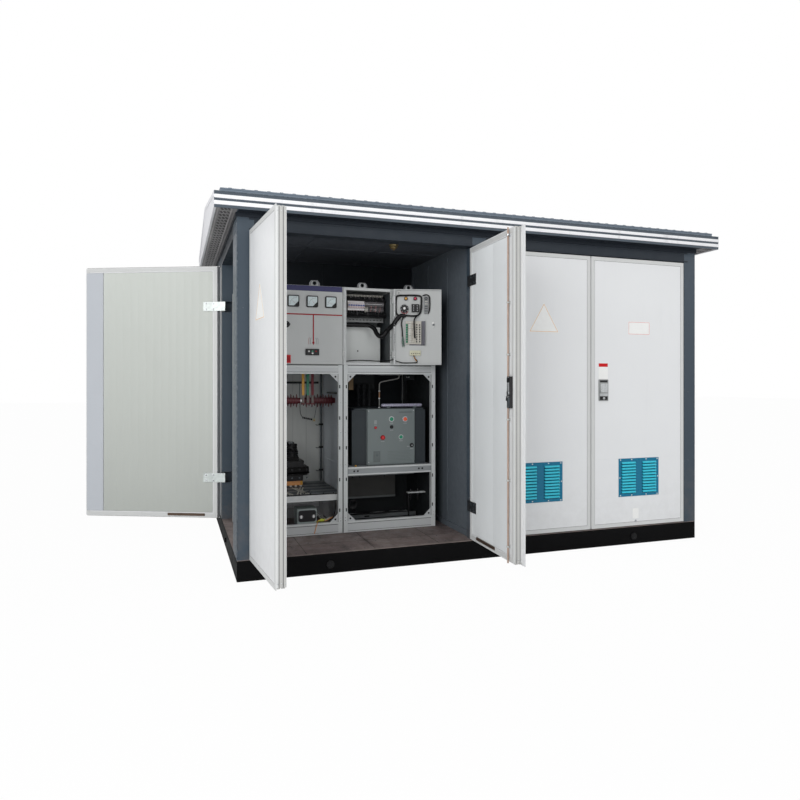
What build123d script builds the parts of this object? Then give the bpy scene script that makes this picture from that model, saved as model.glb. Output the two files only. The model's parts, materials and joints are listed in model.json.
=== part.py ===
from build123d import *
from dataclasses import dataclass
from math import cos, radians, sin, tan
import os

# Compact substation: a steel kiosk with a switchgear room and a transformer room, under one roof.
# Millimetres. X runs along the length, Y from the front to the rear and Z up from the ground.
# The origin is the centre of the base's underside.

# Overall body
LENGTH = 3400
WIDTH = 2200
BASE_HEIGHT = 128
FLOOR_PLATE = 6
POST = 100
DOORWAY_HEIGHT = 1981
TOP_BEAM = 74
SWITCHGEAR_DOORWAY = 1435
WALL = 50

# Left end, from the front post to the rear
END_STRIP = 160
END_DOORWAY = 1086

# Base beams and floor
BASE_BEAM = 80
BASE_CROSS_BEAMS = 5
FLOOR_JOINT = 3
FLOOR_BAYS = 4

# Roof
CEILING_DROP = 16
DECK = 31
DECK_LIP = 8
FRONT_OVERHANG = 106
END_OVERHANG = 135
EAVES_SHEET = 12
SOFFIT_SHEET = 4
LIP_DROP = 5
EAVES_BANDS = (18, 21, 16, 20, 20)
BAND_RELIEF = 4
ROOF_PITCH_DEG = 8.6
ROOF_SHEET = 20
SHEET_INSET = 35
RIDGE_CAP_HALF = 140
RIDGE_CAP_SHEET = 3

# Door leaves
LEAF = 55
LEAF_SKIN = 4
SKIN_MARGIN = 12
LEAF_BORDER = 36
LEAF_RECESS = 5
CUT_PAST = 1
JAMB_GAP = 8
HEAD_GAP = 6
MEETING_GAP = 8
ASTRAGAL = 34

# Concealed hinges: the pin stands inside the post, behind its front skin
PIN_FROM_JAMB = 20
PIN_FROM_FACE = 10
PIN_RADIUS = 4
PIN_PLAY = 0.05
PIN_SEAT = 12
KNUCKLE_RADIUS = 7
ARM_SHEET = 6
ARM_HEIGHT = 70
ARM_PLATE = 110
POST_SKIN = 2
POCKET_PLAY = 6
LEG_CLEARANCE_DEG = 6
FRONT_HINGE_INSET = 230
END_HINGE_INSET = 320

# Leaf positions in the photograph, in degrees from shut
FRONT_LEFT_OPEN = 85
FRONT_RIGHT_OPEN = 88
END_OPEN = 116
METER_DOOR_OPEN = 0
RELAY_DOOR_OPEN = 163

# Louvred vents
VENT_WIDTH = 355
VENT_HEIGHT = 280
VENT_BOTTOM = 352
VENT_SHEET = 3
VENT_MARGIN = 22
LOUVRE_ROWS = 10
LOUVRE_HOOD = 9
LOUVRE_SHEET = 3
LOUVRE_GAP = 4

# Door handles and locks
HANDLE_WIDTH = 79
HANDLE_HEIGHT = 156
HANDLE_BOTTOM = 1058
HANDLE_FROM_EDGE = 60
HANDLE_PLATE = 8
HANDLE_GRIP = 14
HANDLE_LEVER = 28
LOCK_ROD_RADIUS = 7
LOCK_ROD_FROM_EDGE = 42
LOCK_ROD_STAND_OFF = 4
LOCK_ROD_END = 4
LOCK_BODY = (46, 26, 260)
ROD_GUIDE = (28, 20)
ROD_GUIDE_FROM_END = 100

# Switchgear cabinets
CABINET_FRONT = 532
CABINET_FROM_LEFT = 70
CABINET_WIDTH = 700
CABINET_DEPTH = 700
CABINET_HEIGHT = 1740
CABINET_GAP = 2
CABINET_POST = 34
UPPER_BOX = 552
BOX_SHEET = 3
PLINTH_RAIL = 80
HEAD_RAIL = 64
RAIL_SHEET = 30
CABINET_PANEL = 2
GUSSET = 60
GUSSET_SHEET = 3
GUSSET_SETBACK = 2
CABINET_DOOR = 20
CABINET_DOOR_GAP = 5
CABINET_DOOR_EDGE = 3
CABINET_DOOR_SET = 6
CABINET_PIN_INSET = 3
CABINET_PIN = 2.5
CABINET_KNUCKLE = 5
CABINET_KNUCKLE_HEIGHT = 40
CABINET_EAR = 6
CABINET_HINGE_INSET = 75
CABINET_DOOR_MARGIN = 4
CABINET_DOOR_SKIN = 2
RELAY_DOOR_WIDTH = 345
RELAY_PIN_SPACE = 14
LUG_WIDTH = 78
LUG_HEIGHT = 46
LUG_SHEET = 8
LUG_HOLE = 13
LUG_HOLE_HEIGHT = 26
LUG_SETBACK = 60
LUG_FROM_LEFT = 155
LUG_FROM_RIGHT = 190

# Instruments and apparatus
METER = 80
METER_PITCH = 130
METER_DEPTH = 12
METER_COUNT = 5
METER_CENTRE_HEIGHT = 1753
BREAKER_WIDTH = 563
BREAKER_DEPTH = 380
BREAKER_HEIGHT = 414
BREAKER_PANEL = (361, 412)
BREAKER_PANEL_PROUD = 14
BREAKER_OFFSET = 12
BREAKER_SETBACK = 68
SHELF_SETBACK = 2
SHELF_TOP = 590
SHELF_RAIL = 60
SHELF_SHEET = 3
BUSBAR_WIDTH = 25
BUSBAR_SHEET = 8
BUSBAR_PITCH = 34
BUSBAR_FROM_LEFT = 512
BUSBAR_BOTTOM = 1040
CLAMP_BAR = (52, 60)
CLAMP_BOTTOM = 1030
CLAMP_SETBACK = 210
TRAY_TOP = 404
TRAY_DEPTH = 45
SWITCH_UNIT = (320, 180, 345)
SWITCH_UNIT_RIGHT = 612
SWITCH_UNIT_SETBACK = 430
TERMINAL_BOX = (135, 140, 120)
TERMINAL_BOX_FROM_LEFT = 455
TERMINAL_BOX_BOTTOM = 188

# Devices on the relay door: distance from the pin, middle height, width, height and depth
DOOR_SELECTOR = (88, 1736, 52, 62, 34)
DOOR_RELAY = (232, 1760, 40, 110, 30)
DOOR_TERMINALS = (150, 1550, 150, 160, 36)
DOOR_CONNECTOR = (165, 1405, 90, 36, 22)

# Rows inside the relay box: setback from the cabinet front, bottom and top
RELAY_ROWS = ((150, 1700, 1790), (150, 1600, 1650), (180, 1340, 1560))
RELAY_ROW_START = 30
RELAY_ROW_END = 15

# Ceiling lamp
LAMP_RADIUS = 34
LAMP_HEIGHT = 48
LAMP_FROM_LEFT = 1100
LAMP_SETBACK = 390

os.makedirs("parts", exist_ok=True)


def save(piece, name):
    """Label a finished piece and write it under the same name."""
    piece.label = name
    export_step(piece, f"parts/{name}.step")


def block(x0, x1, y0, y1, z0, z1, mode=Mode.ADD):
    """Add one square block, given by its limits along each axis, to the part being built."""
    with Locations(((x0 + x1) / 2, (y0 + y1) / 2, (z0 + z1) / 2)):
        Box(abs(x1 - x0), abs(y1 - y0), z1 - z0, mode=mode)


# Shared levels and places
left = -LENGTH / 2
right = LENGTH / 2
front = -WIDTH / 2
rear = WIDTH / 2
floor_top = BASE_HEIGHT
door_head = BASE_HEIGHT + DOORWAY_HEIGHT
frame_top = door_head + TOP_BEAM
ceiling_level = frame_top - CEILING_DROP
deck_top = frame_top + DECK
soffit_top = deck_top
soffit_bottom = soffit_top - SOFFIT_SHEET
eaves_bottom = soffit_bottom - LIP_DROP
roof_top = eaves_bottom + sum(EAVES_BANDS)
leaf_bottom = floor_top + HEAD_GAP
leaf_top = door_head - HEAD_GAP
divider_left = left + POST + SWITCHGEAR_DOORWAY
divider_right = divider_left + POST
divider_middle = (divider_left + divider_right) / 2
transformer_doorway = right - POST - divider_right
strip_front = front + POST
end_jamb_front = strip_front + END_STRIP
end_jamb_rear = end_jamb_front + END_DOORWAY
partition_front = end_jamb_rear
partition_rear = partition_front + WALL


# Door leaf geometry
@dataclass
class Leaf:
    """A hinged leaf: its pin, the way it points when shut, and which side the room is on."""

    name: str
    pin_x: float
    pin_y: float
    shut_heading: float
    room_side: int
    width: float
    hinge_inset: float
    open_angle: float = 0
    widest: float = 90
    edge_strip: float = 0

    def plane(self, angle=None):
        """The leaf's own plane at the pin: local X points along the leaf to its free edge."""
        turned = self.open_angle if angle is None else angle
        heading = radians(self.shut_heading - self.room_side * turned)
        return Plane(
            origin=(self.pin_x, self.pin_y, 0),
            x_dir=(cos(heading), sin(heading), 0),
            z_dir=(0, 0, 1),
        )

    def slab(self, u0, u1, v0, v1, z0, z1, mode=Mode.ADD):
        """A block in the leaf's own plane, u along the leaf from the pin and v into the room."""
        block(u0, u1, self.room_side * v0, self.room_side * v1, z0, z1, mode=mode)

    def hinge_heights(self):
        """The middle of each hinge arm."""
        return (leaf_bottom + self.hinge_inset, leaf_top - self.hinge_inset)


leaf_face = -PIN_FROM_FACE
leaf_back = LEAF - PIN_FROM_FACE
leaf_edge = PIN_FROM_JAMB + JAMB_GAP
pair_width = SWITCHGEAR_DOORWAY - 2 * JAMB_GAP - MEETING_GAP
front_left_width = (pair_width - ASTRAGAL) / 2
front_right_width = (pair_width - ASTRAGAL) / 2
transformer_width = (transformer_doorway - 2 * JAMB_GAP - MEETING_GAP) / 2
end_width = END_DOORWAY - 2 * JAMB_GAP

front_left = Leaf(
    "front_left_leaf", left + POST - PIN_FROM_JAMB, front + PIN_FROM_FACE, 0, 1,
    front_left_width, FRONT_HINGE_INSET, FRONT_LEFT_OPEN, 95,
)
front_right = Leaf(
    "front_right_leaf", divider_left + PIN_FROM_JAMB, front + PIN_FROM_FACE, 180, -1,
    front_right_width, FRONT_HINGE_INSET, FRONT_RIGHT_OPEN, 90, ASTRAGAL,
)
transformer_left = Leaf(
    "transformer_left_leaf", divider_right - PIN_FROM_JAMB, front + PIN_FROM_FACE, 0, 1,
    transformer_width, FRONT_HINGE_INSET, 0, 90,
)
transformer_right = Leaf(
    "transformer_right_leaf", right - POST + PIN_FROM_JAMB, front + PIN_FROM_FACE, 180, -1,
    transformer_width, FRONT_HINGE_INSET, 0, 95,
)
end_leaf = Leaf(
    "end_leaf", left + PIN_FROM_FACE, end_jamb_rear + PIN_FROM_JAMB, 270, 1,
    end_width, END_HINGE_INSET, END_OPEN, 120,
)
rear_leaves = []
for name, start, end, width in (
    ("rear_switchgear", left + POST, divider_left, pair_width / 2),
    ("rear_transformer", divider_right, right - POST, transformer_width),
):
    rear_leaves.append(Leaf(f"{name}_leaf_a", start - PIN_FROM_JAMB, rear - PIN_FROM_FACE, 0, -1,
                            width, FRONT_HINGE_INSET))
    rear_leaves.append(Leaf(f"{name}_leaf_b", end + PIN_FROM_JAMB, rear - PIN_FROM_FACE, 180, 1,
                            width, FRONT_HINGE_INSET))
opening_leaves = (front_left, front_right, transformer_left, transformer_right, end_leaf)
corner_post_leaves = (front_left, transformer_right, rear_leaves[0], rear_leaves[3])
middle_post_leaves = (front_right, transformer_left, rear_leaves[1], rear_leaves[2], end_leaf)


def leg_angle(leaf):
    """Direction of a hinge arm's leg when the leaf is shut, so that it clears the post when wide open."""
    return leaf.widest + LEG_CLEARANCE_DEG


def leg_end(leaf):
    """Where the leg meets the plate that is bolted to the leaf, when the leaf is shut."""
    depth = leaf_back + ARM_SHEET / 2
    return depth / tan(radians(leg_angle(leaf))), depth


def cut_hinge_pockets(leaf):
    """Pocket and pin holes for both hinges, cut into the post that carries a leaf."""
    end_u, end_v = leg_end(leaf)
    reach = (end_u ** 2 + end_v ** 2) ** 0.5 + ARM_SHEET / 2 + POCKET_PLAY
    back_u = min(end_u - ARM_SHEET / 2, -KNUCKLE_RADIUS) - POCKET_PLAY
    half = ARM_HEIGHT / 2 + POCKET_PLAY
    for height in leaf.hinge_heights():
        leaf.slab(back_u, PIN_FROM_JAMB + CUT_PAST, leaf_face + POST_SKIN, reach,
                  height - half, height + half, mode=Mode.SUBTRACT)
        with Locations((0, 0, height)):
            Cylinder(PIN_RADIUS + PIN_PLAY, 2 * (half + PIN_SEAT), mode=Mode.SUBTRACT)


def add_hinge_arms(leaf, plane):
    """Both hinge arms of a leaf: a knuckle, a leg round the post's edge and a plate on the leaf."""
    end_u, end_v = leg_end(leaf)
    leg_length = (end_u ** 2 + end_v ** 2) ** 0.5
    plate_end = leaf_edge + ARM_PLATE
    for height in leaf.hinge_heights():
        with BuildSketch(plane.offset(height - ARM_HEIGHT / 2)) as outline:
            Circle(KNUCKLE_RADIUS)
            with Locations((end_u / 2, leaf.room_side * end_v / 2)):
                Rectangle(leg_length, ARM_SHEET, rotation=leaf.room_side * leg_angle(leaf))
            with Locations((end_u, leaf.room_side * end_v)):
                Circle(ARM_SHEET / 2)
            with Locations(((end_u + plate_end) / 2, leaf.room_side * end_v)):
                Rectangle(plate_end - end_u, ARM_SHEET)
            Circle(PIN_RADIUS + PIN_PLAY, mode=Mode.SUBTRACT)
        extrude(outline.sketch, amount=ARM_HEIGHT)


def shape_leaf(leaf, vent=False):
    """A leaf's sandwich panel: outer skin, narrower core and a recessed inner sheet."""
    core_end = leaf_edge + leaf.width
    skin_end = core_end + leaf.edge_strip
    skin_back = leaf_face + LEAF_SKIN
    leaf.slab(leaf_edge, skin_end, leaf_face, skin_back, leaf_bottom, leaf_top)
    leaf.slab(leaf_edge, core_end, skin_back, leaf_back, leaf_bottom + SKIN_MARGIN, leaf_top - SKIN_MARGIN)
    leaf.slab(leaf_edge + LEAF_BORDER, core_end - LEAF_BORDER, leaf_back - LEAF_RECESS, leaf_back,
              leaf_bottom + SKIN_MARGIN + LEAF_BORDER, leaf_top - SKIN_MARGIN - LEAF_BORDER,
              mode=Mode.SUBTRACT)
    plate_end = leaf_edge + ARM_PLATE
    for height in leaf.hinge_heights():
        leaf.slab(plate_end - ARM_PLATE, plate_end, leaf_back - LEAF_RECESS - CUT_PAST, leaf_back,
                  height - ARM_HEIGHT / 2, height + ARM_HEIGHT / 2)
    if vent:
        middle = leaf_edge + leaf.width / 2
        half = VENT_WIDTH / 2 - VENT_MARGIN
        leaf.slab(middle - half, middle + half, leaf_face - CUT_PAST, leaf_back + CUT_PAST,
                  VENT_BOTTOM + VENT_MARGIN, VENT_BOTTOM + VENT_HEIGHT - VENT_MARGIN, mode=Mode.SUBTRACT)


def shape_vent(leaf):
    """A pressed louvre plate on a leaf's outer face: two columns of hooded slots."""
    middle = leaf_edge + leaf.width / 2
    slot_width = (VENT_WIDTH - 3 * VENT_MARGIN) / 2
    pitch = (VENT_HEIGHT - 2 * VENT_MARGIN) / LOUVRE_ROWS
    outer = leaf_face - VENT_SHEET
    leaf.slab(middle - VENT_WIDTH / 2, middle + VENT_WIDTH / 2, outer, leaf_face,
              VENT_BOTTOM, VENT_BOTTOM + VENT_HEIGHT)
    hood_height = pitch - LOUVRE_GAP
    for row in range(LOUVRE_ROWS):
        slot_bottom = VENT_BOTTOM + VENT_MARGIN + row * pitch + LOUVRE_GAP
        for column in (-1, 1):
            centre = middle + column * (slot_width + VENT_MARGIN) / 2
            u0 = centre - slot_width / 2
            u1 = centre + slot_width / 2
            leaf.slab(u0, u1, outer - LOUVRE_HOOD, outer, slot_bottom, slot_bottom + hood_height)
            leaf.slab(u0 + LOUVRE_SHEET, u1 - LOUVRE_SHEET, outer - LOUVRE_HOOD + LOUVRE_SHEET, leaf_face,
                      slot_bottom, slot_bottom + hood_height - LOUVRE_SHEET, mode=Mode.SUBTRACT)


def shape_handle(leaf):
    """A flush swing handle: backplate with a lever standing proud of it."""
    free_edge = leaf_edge + leaf.width
    u1 = free_edge - HANDLE_FROM_EDGE
    u0 = u1 - HANDLE_WIDTH
    middle = (u0 + u1) / 2
    top = HANDLE_BOTTOM + HANDLE_HEIGHT
    plate_face = leaf_face - HANDLE_PLATE
    leaf.slab(u0, u1, plate_face, leaf_face, HANDLE_BOTTOM, top)
    leaf.slab(middle - HANDLE_LEVER / 2, middle + HANDLE_LEVER / 2, plate_face - HANDLE_GRIP, plate_face,
              HANDLE_BOTTOM + HANDLE_GRIP, top - HANDLE_GRIP)


def shape_lock_rods(leaf):
    """The rods that bolt a leaf at top and bottom, and the lock case between them."""
    width, depth, height = LOCK_BODY
    middle = leaf_edge + leaf.width - LOCK_ROD_FROM_EDGE
    lock_middle = HANDLE_BOTTOM + HANDLE_HEIGHT / 2
    leaf.slab(middle - width / 2, middle + width / 2, leaf_back, leaf_back + depth,
              lock_middle - height / 2, lock_middle + height / 2)
    guide_width, guide_height = ROD_GUIDE
    rod_axis = leaf_back + LOCK_ROD_STAND_OFF + LOCK_ROD_RADIUS
    guide_back = rod_axis + LOCK_ROD_RADIUS + LOCK_ROD_STAND_OFF / 2
    lower = (leaf_bottom + LOCK_ROD_END, lock_middle - height / 2)
    upper = (lock_middle + height / 2, leaf_top - LOCK_ROD_END)
    for low, high in (lower, upper):
        with Locations((middle, leaf.room_side * rod_axis, (low + high) / 2)):
            Cylinder(LOCK_ROD_RADIUS, high - low)
        for guide in (low + ROD_GUIDE_FROM_END, (low + high) / 2, high - ROD_GUIDE_FROM_END):
            leaf.slab(middle - guide_width / 2, middle + guide_width / 2, leaf_back, guide_back,
                      guide - guide_height / 2, guide + guide_height / 2)


# Base and floor
beam_top = BASE_HEIGHT - FLOOR_PLATE
with BuildPart() as base_long_beams:
    for side_y, inner in ((front, 1), (rear, -1)):
        block(left, right, side_y, side_y + inner * BASE_BEAM, 0, beam_top)
save(base_long_beams.part, "base_long_beams")

with BuildPart() as base_cross_beams:
    first = left + BASE_BEAM / 2
    pitch = (LENGTH - BASE_BEAM) / (BASE_CROSS_BEAMS - 1)
    for number in range(BASE_CROSS_BEAMS):
        middle = first + number * pitch
        block(middle - BASE_BEAM / 2, middle + BASE_BEAM / 2, front + BASE_BEAM, rear - BASE_BEAM,
              0, beam_top)
save(base_cross_beams.part, "base_cross_beams")

with BuildPart() as floor_plates:
    pitch = (LENGTH - BASE_BEAM) / (BASE_CROSS_BEAMS - 1)
    edges = [left] + [left + BASE_BEAM / 2 + number * pitch for number in range(1, FLOOR_BAYS)] + [right]
    for start, end in zip(edges[:-1], edges[1:]):
        block(start + FLOOR_JOINT / 2, end - FLOOR_JOINT / 2, front, rear, beam_top, BASE_HEIGHT)
save(floor_plates.part, "floor_plates")

# Posts
with BuildPart() as corner_posts:
    for x0 in (left, right - POST):
        for y0 in (front, rear - POST):
            block(x0, x0 + POST, y0, y0 + POST, floor_top, frame_top)
    for leaf in corner_post_leaves:
        with Locations(leaf.plane(0)):
            cut_hinge_pockets(leaf)
save(corner_posts.part, "corner_posts")

with BuildPart() as middle_posts:
    for y0 in (front, rear - POST):
        block(divider_left, divider_right, y0, y0 + POST, floor_top, frame_top)
    block(left, left + POST, end_jamb_rear, end_jamb_rear + POST, floor_top, frame_top)
    for leaf in middle_post_leaves:
        with Locations(leaf.plane(0)):
            cut_hinge_pockets(leaf)
save(middle_posts.part, "middle_posts")


# Hinge pins, seated in the posts above and below each pocket
with BuildPart() as hinge_pins:
    for leaf in (*opening_leaves, *rear_leaves):
        for height in leaf.hinge_heights():
            with Locations((leaf.pin_x, leaf.pin_y, height)):
                Cylinder(PIN_RADIUS, ARM_HEIGHT + 2 * POCKET_PLAY + 2 * PIN_SEAT)
save(hinge_pins.part, "hinge_pins")

# Top frame and ceiling
with BuildPart() as top_beams:
    for y0 in (front, rear - POST):
        block(left + POST, divider_left, y0, y0 + POST, door_head, frame_top)
        block(divider_right, right - POST, y0, y0 + POST, door_head, frame_top)
    block(left, left + POST, end_jamb_front, end_jamb_rear, door_head, frame_top)
save(top_beams.part, "top_beams")

with BuildPart() as ceiling:
    block(left + POST, right - POST, front + POST, rear - POST, ceiling_level, frame_top)
save(ceiling.part, "ceiling")

# Walls
with BuildPart() as divider_wall:
    block(divider_middle - WALL / 2, divider_middle + WALL / 2, front + POST, rear - POST,
          floor_top, ceiling_level)
save(divider_wall.part, "divider_wall")

with BuildPart() as partition_wall:
    block(left + POST, divider_middle - WALL / 2, partition_front, partition_rear, floor_top, ceiling_level)
save(partition_wall.part, "partition_wall")

with BuildPart() as end_walls:
    block(left, left + WALL, strip_front, end_jamb_front, floor_top, frame_top)
    block(left, left + WALL, end_jamb_rear + POST, rear - POST, floor_top, frame_top)
    block(right - WALL, right, front + POST, rear - POST, floor_top, frame_top)
save(end_walls.part, "end_walls")

# Roof
eaves_left = left - END_OVERHANG
eaves_right = right + END_OVERHANG
eaves_front = front - FRONT_OVERHANG
eaves_rear = rear + FRONT_OVERHANG
ridge_rise = (WIDTH / 2 + FRONT_OVERHANG) * tan(radians(ROOF_PITCH_DEG))
ridge_level = roof_top + ridge_rise


def gable_outline(lower, inset=0, lift=0):
    """The roof's cross-section in the YZ plane, from a level up to both slopes."""
    drop = inset * tan(radians(ROOF_PITCH_DEG))
    eave = roof_top + drop + lift
    return [(eaves_front + inset, lower), (eaves_rear - inset, lower), (eaves_rear - inset, eave),
            (0, ridge_level + lift), (eaves_front + inset, eave)]


with BuildPart() as roof_slab:
    block(left - DECK_LIP, right + DECK_LIP, front - DECK_LIP, rear + DECK_LIP, frame_top, deck_top)
    with BuildSketch(Plane.YZ.offset(eaves_left + EAVES_SHEET)) as section:
        with BuildLine():
            Polyline(*gable_outline(deck_top, EAVES_SHEET), close=True)
        make_face()
    extrude(section.sketch, amount=eaves_right - eaves_left - 2 * EAVES_SHEET)
save(roof_slab.part, "roof_slab")


def eaves_points(outer, wall, lean):
    """Eaves cross-section: a banded fascia with a soffit behind it. lean is the way towards the wall."""
    inner = outer + lean * EAVES_SHEET
    points = [(wall, soffit_top), (wall, soffit_bottom), (inner, soffit_bottom), (inner, eaves_bottom)]
    level = eaves_bottom
    for number, band in enumerate(EAVES_BANDS):
        face = outer + (lean * BAND_RELIEF if number % 2 == 0 else 0)
        points.append((face, level))
        level += band
        points.append((face, level))
    points.append((inner, roof_top))
    points.append((inner, soffit_top))
    return points


with BuildPart() as eaves_long:
    for outer, wall, lean in ((eaves_front, front - DECK_LIP, 1), (eaves_rear, rear + DECK_LIP, -1)):
        with BuildSketch(Plane.YZ.offset(eaves_left)) as profile:
            with BuildLine():
                Polyline(*eaves_points(outer, wall, lean), close=True)
            make_face()
        extrude(profile.sketch, amount=eaves_right - eaves_left)
        for end, inward in ((eaves_left, 1), (eaves_right, -1)):
            block(end, end + inward * EAVES_SHEET, outer + lean * EAVES_SHEET, wall,
                  soffit_bottom, soffit_top, mode=Mode.SUBTRACT)
save(eaves_long.part, "eaves_long")

with BuildPart() as eaves_ends:
    for outer, wall, lean in ((eaves_left, left - DECK_LIP, 1), (eaves_right, right + DECK_LIP, -1)):
        with BuildSketch(Plane.YZ.offset(outer)) as gable:
            with BuildLine():
                Polyline(*gable_outline(eaves_bottom, EAVES_SHEET), close=True)
            make_face()
        extrude(gable.sketch, amount=lean * EAVES_SHEET)
        block(outer + lean * EAVES_SHEET, wall, front - DECK_LIP, rear + DECK_LIP, soffit_bottom, soffit_top)
save(eaves_ends.part, "eaves_ends")

# Roof sheets on both slopes, and the ridge cap over them
with BuildPart() as roof_sheets:
    with BuildSketch(Plane.YZ.offset(eaves_left + SHEET_INSET)) as section:
        with BuildLine():
            Polyline(*gable_outline(roof_top, SHEET_INSET, ROOF_SHEET), close=True)
        make_face()
        with BuildLine():
            Polyline(*gable_outline(roof_top - CUT_PAST, SHEET_INSET), close=True)
        make_face(mode=Mode.SUBTRACT)
    extrude(section.sketch, amount=eaves_right - eaves_left - 2 * SHEET_INSET)
save(roof_sheets.part, "roof_sheets")

cap_drop = RIDGE_CAP_HALF * tan(radians(ROOF_PITCH_DEG))
cap_seat = ridge_level + ROOF_SHEET
cap_edge = cap_seat - cap_drop
with BuildPart() as ridge_cap:
    with BuildSketch(Plane.YZ.offset(eaves_left + SHEET_INSET)) as section:
        with BuildLine():
            Polyline((-RIDGE_CAP_HALF, cap_edge), (0, cap_seat), (RIDGE_CAP_HALF, cap_edge),
                     (RIDGE_CAP_HALF, cap_edge + RIDGE_CAP_SHEET), (0, cap_seat + RIDGE_CAP_SHEET),
                     (-RIDGE_CAP_HALF, cap_edge + RIDGE_CAP_SHEET), close=True)
        make_face()
    extrude(section.sketch, amount=eaves_right - eaves_left - 2 * SHEET_INSET)
save(ridge_cap.part, "ridge_cap")

# Front and end leaves that open
for leaf in opening_leaves:
    with BuildPart(leaf.plane()) as panel:
        shape_leaf(leaf, vent=leaf in (transformer_left, transformer_right))
    save(panel.part, leaf.name)
    with BuildPart() as arms:
        add_hinge_arms(leaf, leaf.plane())
    save(arms.part, leaf.name.replace("_leaf", "_hinges"))

for leaf in (transformer_left, transformer_right):
    with BuildPart(leaf.plane()) as vent:
        shape_vent(leaf)
    save(vent.part, leaf.name.replace("_leaf", "_vent"))

for leaf in (front_right, transformer_right, end_leaf):
    with BuildPart(leaf.plane()) as handle:
        shape_handle(leaf)
    save(handle.part, leaf.name.replace("_leaf", "_handle"))

for leaf in (front_right, transformer_right):
    with BuildPart(leaf.plane()) as rods:
        shape_lock_rods(leaf)
    save(rods.part, leaf.name.replace("_leaf", "_lock_rods"))

# Rear leaves, shut
for leaf in rear_leaves:
    with BuildPart(leaf.plane()) as panel:
        shape_leaf(leaf, "transformer" in leaf.name)
    save(panel.part, leaf.name)
with BuildPart() as rear_hinges:
    for leaf in rear_leaves:
        add_hinge_arms(leaf, leaf.plane())
save(rear_hinges.part, "rear_hinges")
with BuildPart() as rear_vents:
    for leaf in rear_leaves[2:]:
        with Locations(leaf.plane()):
            shape_vent(leaf)
save(rear_vents.part, "rear_vents")
with BuildPart() as rear_handles:
    for leaf in rear_leaves[1::2]:
        with Locations(leaf.plane()):
            shape_handle(leaf)
save(rear_handles.part, "rear_handles")

# Switchgear cabinets
cabinet_left = [left + CABINET_FROM_LEFT, left + CABINET_FROM_LEFT + CABINET_WIDTH]
cabinet_left = [edge + CABINET_GAP / 2 for edge in cabinet_left]
bay_width = CABINET_WIDTH - CABINET_GAP
cabinet_front = front + CABINET_FRONT
cabinet_rear = cabinet_front + CABINET_DEPTH
cabinet_top = floor_top + CABINET_HEIGHT
box_bottom = cabinet_top - UPPER_BOX
rail_top = floor_top + PLINTH_RAIL

with BuildPart() as cabinet_posts:
    for x0 in cabinet_left:
        for post_x in (x0, x0 + bay_width - CABINET_POST):
            for post_y in (cabinet_front, cabinet_rear - CABINET_POST):
                block(post_x, post_x + CABINET_POST, post_y, post_y + CABINET_POST, floor_top, box_bottom)
save(cabinet_posts.part, "cabinet_posts")

with BuildPart() as cabinet_rails:
    for x0 in cabinet_left:
        inner0 = x0 + CABINET_POST
        inner1 = x0 + bay_width - CABINET_POST
        for low, high in ((floor_top, rail_top), (box_bottom - HEAD_RAIL, box_bottom)):
            block(inner0, inner1, cabinet_front, cabinet_front + RAIL_SHEET, low, high)
            block(inner0, inner1, cabinet_rear - RAIL_SHEET, cabinet_rear, low, high)
save(cabinet_rails.part, "cabinet_rails")

with BuildPart() as cabinet_gussets:
    for x0 in cabinet_left:
        inner0 = x0 + CABINET_POST
        inner1 = x0 + bay_width - CABINET_POST
        corners = (
            (inner0, rail_top, 1, 1), (inner1, rail_top, -1, 1),
            (inner0, box_bottom - HEAD_RAIL, 1, -1), (inner1, box_bottom - HEAD_RAIL, -1, -1),
        )
        for corner_x, corner_z, along, up in corners:
            with BuildSketch(Plane.XZ.offset(-(cabinet_front + GUSSET_SETBACK))) as triangle:
                with BuildLine():
                    Polyline((corner_x, corner_z), (corner_x + along * GUSSET, corner_z),
                             (corner_x, corner_z + up * GUSSET), close=True)
                make_face()
            extrude(triangle.sketch, amount=-GUSSET_SHEET)
save(cabinet_gussets.part, "cabinet_gussets")

with BuildPart() as cabinet_panels:
    side0 = cabinet_front + CABINET_POST
    side1 = cabinet_rear - CABINET_POST
    for x0 in cabinet_left:
        for sheet_x in (x0, x0 + bay_width - CABINET_PANEL):
            block(sheet_x, sheet_x + CABINET_PANEL, side0, side1, floor_top, box_bottom)
    back_y = cabinet_rear - RAIL_SHEET
    inner0 = cabinet_left[0] + CABINET_POST
    inner1 = cabinet_left[0] + bay_width - CABINET_POST
    block(inner0, inner1, back_y - CABINET_PANEL, back_y, rail_top, box_bottom - HEAD_RAIL)
    block(inner0 + CABINET_WIDTH, inner1 + CABINET_WIDTH, back_y - CABINET_PANEL, back_y, rail_top, SHELF_TOP)
save(cabinet_panels.part, "cabinet_panels")


def sheet_box(x0, x1, y0, y1, z0, z1):
    """A sheet-metal case, open at the front."""
    block(x0, x1, y0, y1, z0, z1)
    block(x0 + BOX_SHEET, x1 - BOX_SHEET, y0 - CUT_PAST, y1 - BOX_SHEET, z0 + BOX_SHEET, z1 - BOX_SHEET,
          mode=Mode.SUBTRACT)


with BuildPart() as meter_box:
    sheet_box(cabinet_left[0], cabinet_left[0] + bay_width, cabinet_front, cabinet_rear,
              box_bottom, cabinet_top)
save(meter_box.part, "meter_box")

relay_pin_x = cabinet_left[1] + RELAY_DOOR_WIDTH + RELAY_PIN_SPACE
with BuildPart() as relay_box:
    sheet_box(cabinet_left[1], relay_pin_x, cabinet_front, cabinet_rear, box_bottom, cabinet_top)
    block(relay_pin_x, cabinet_left[1] + bay_width, cabinet_front, cabinet_rear, box_bottom, cabinet_top)
save(relay_box.part, "relay_box")

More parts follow.
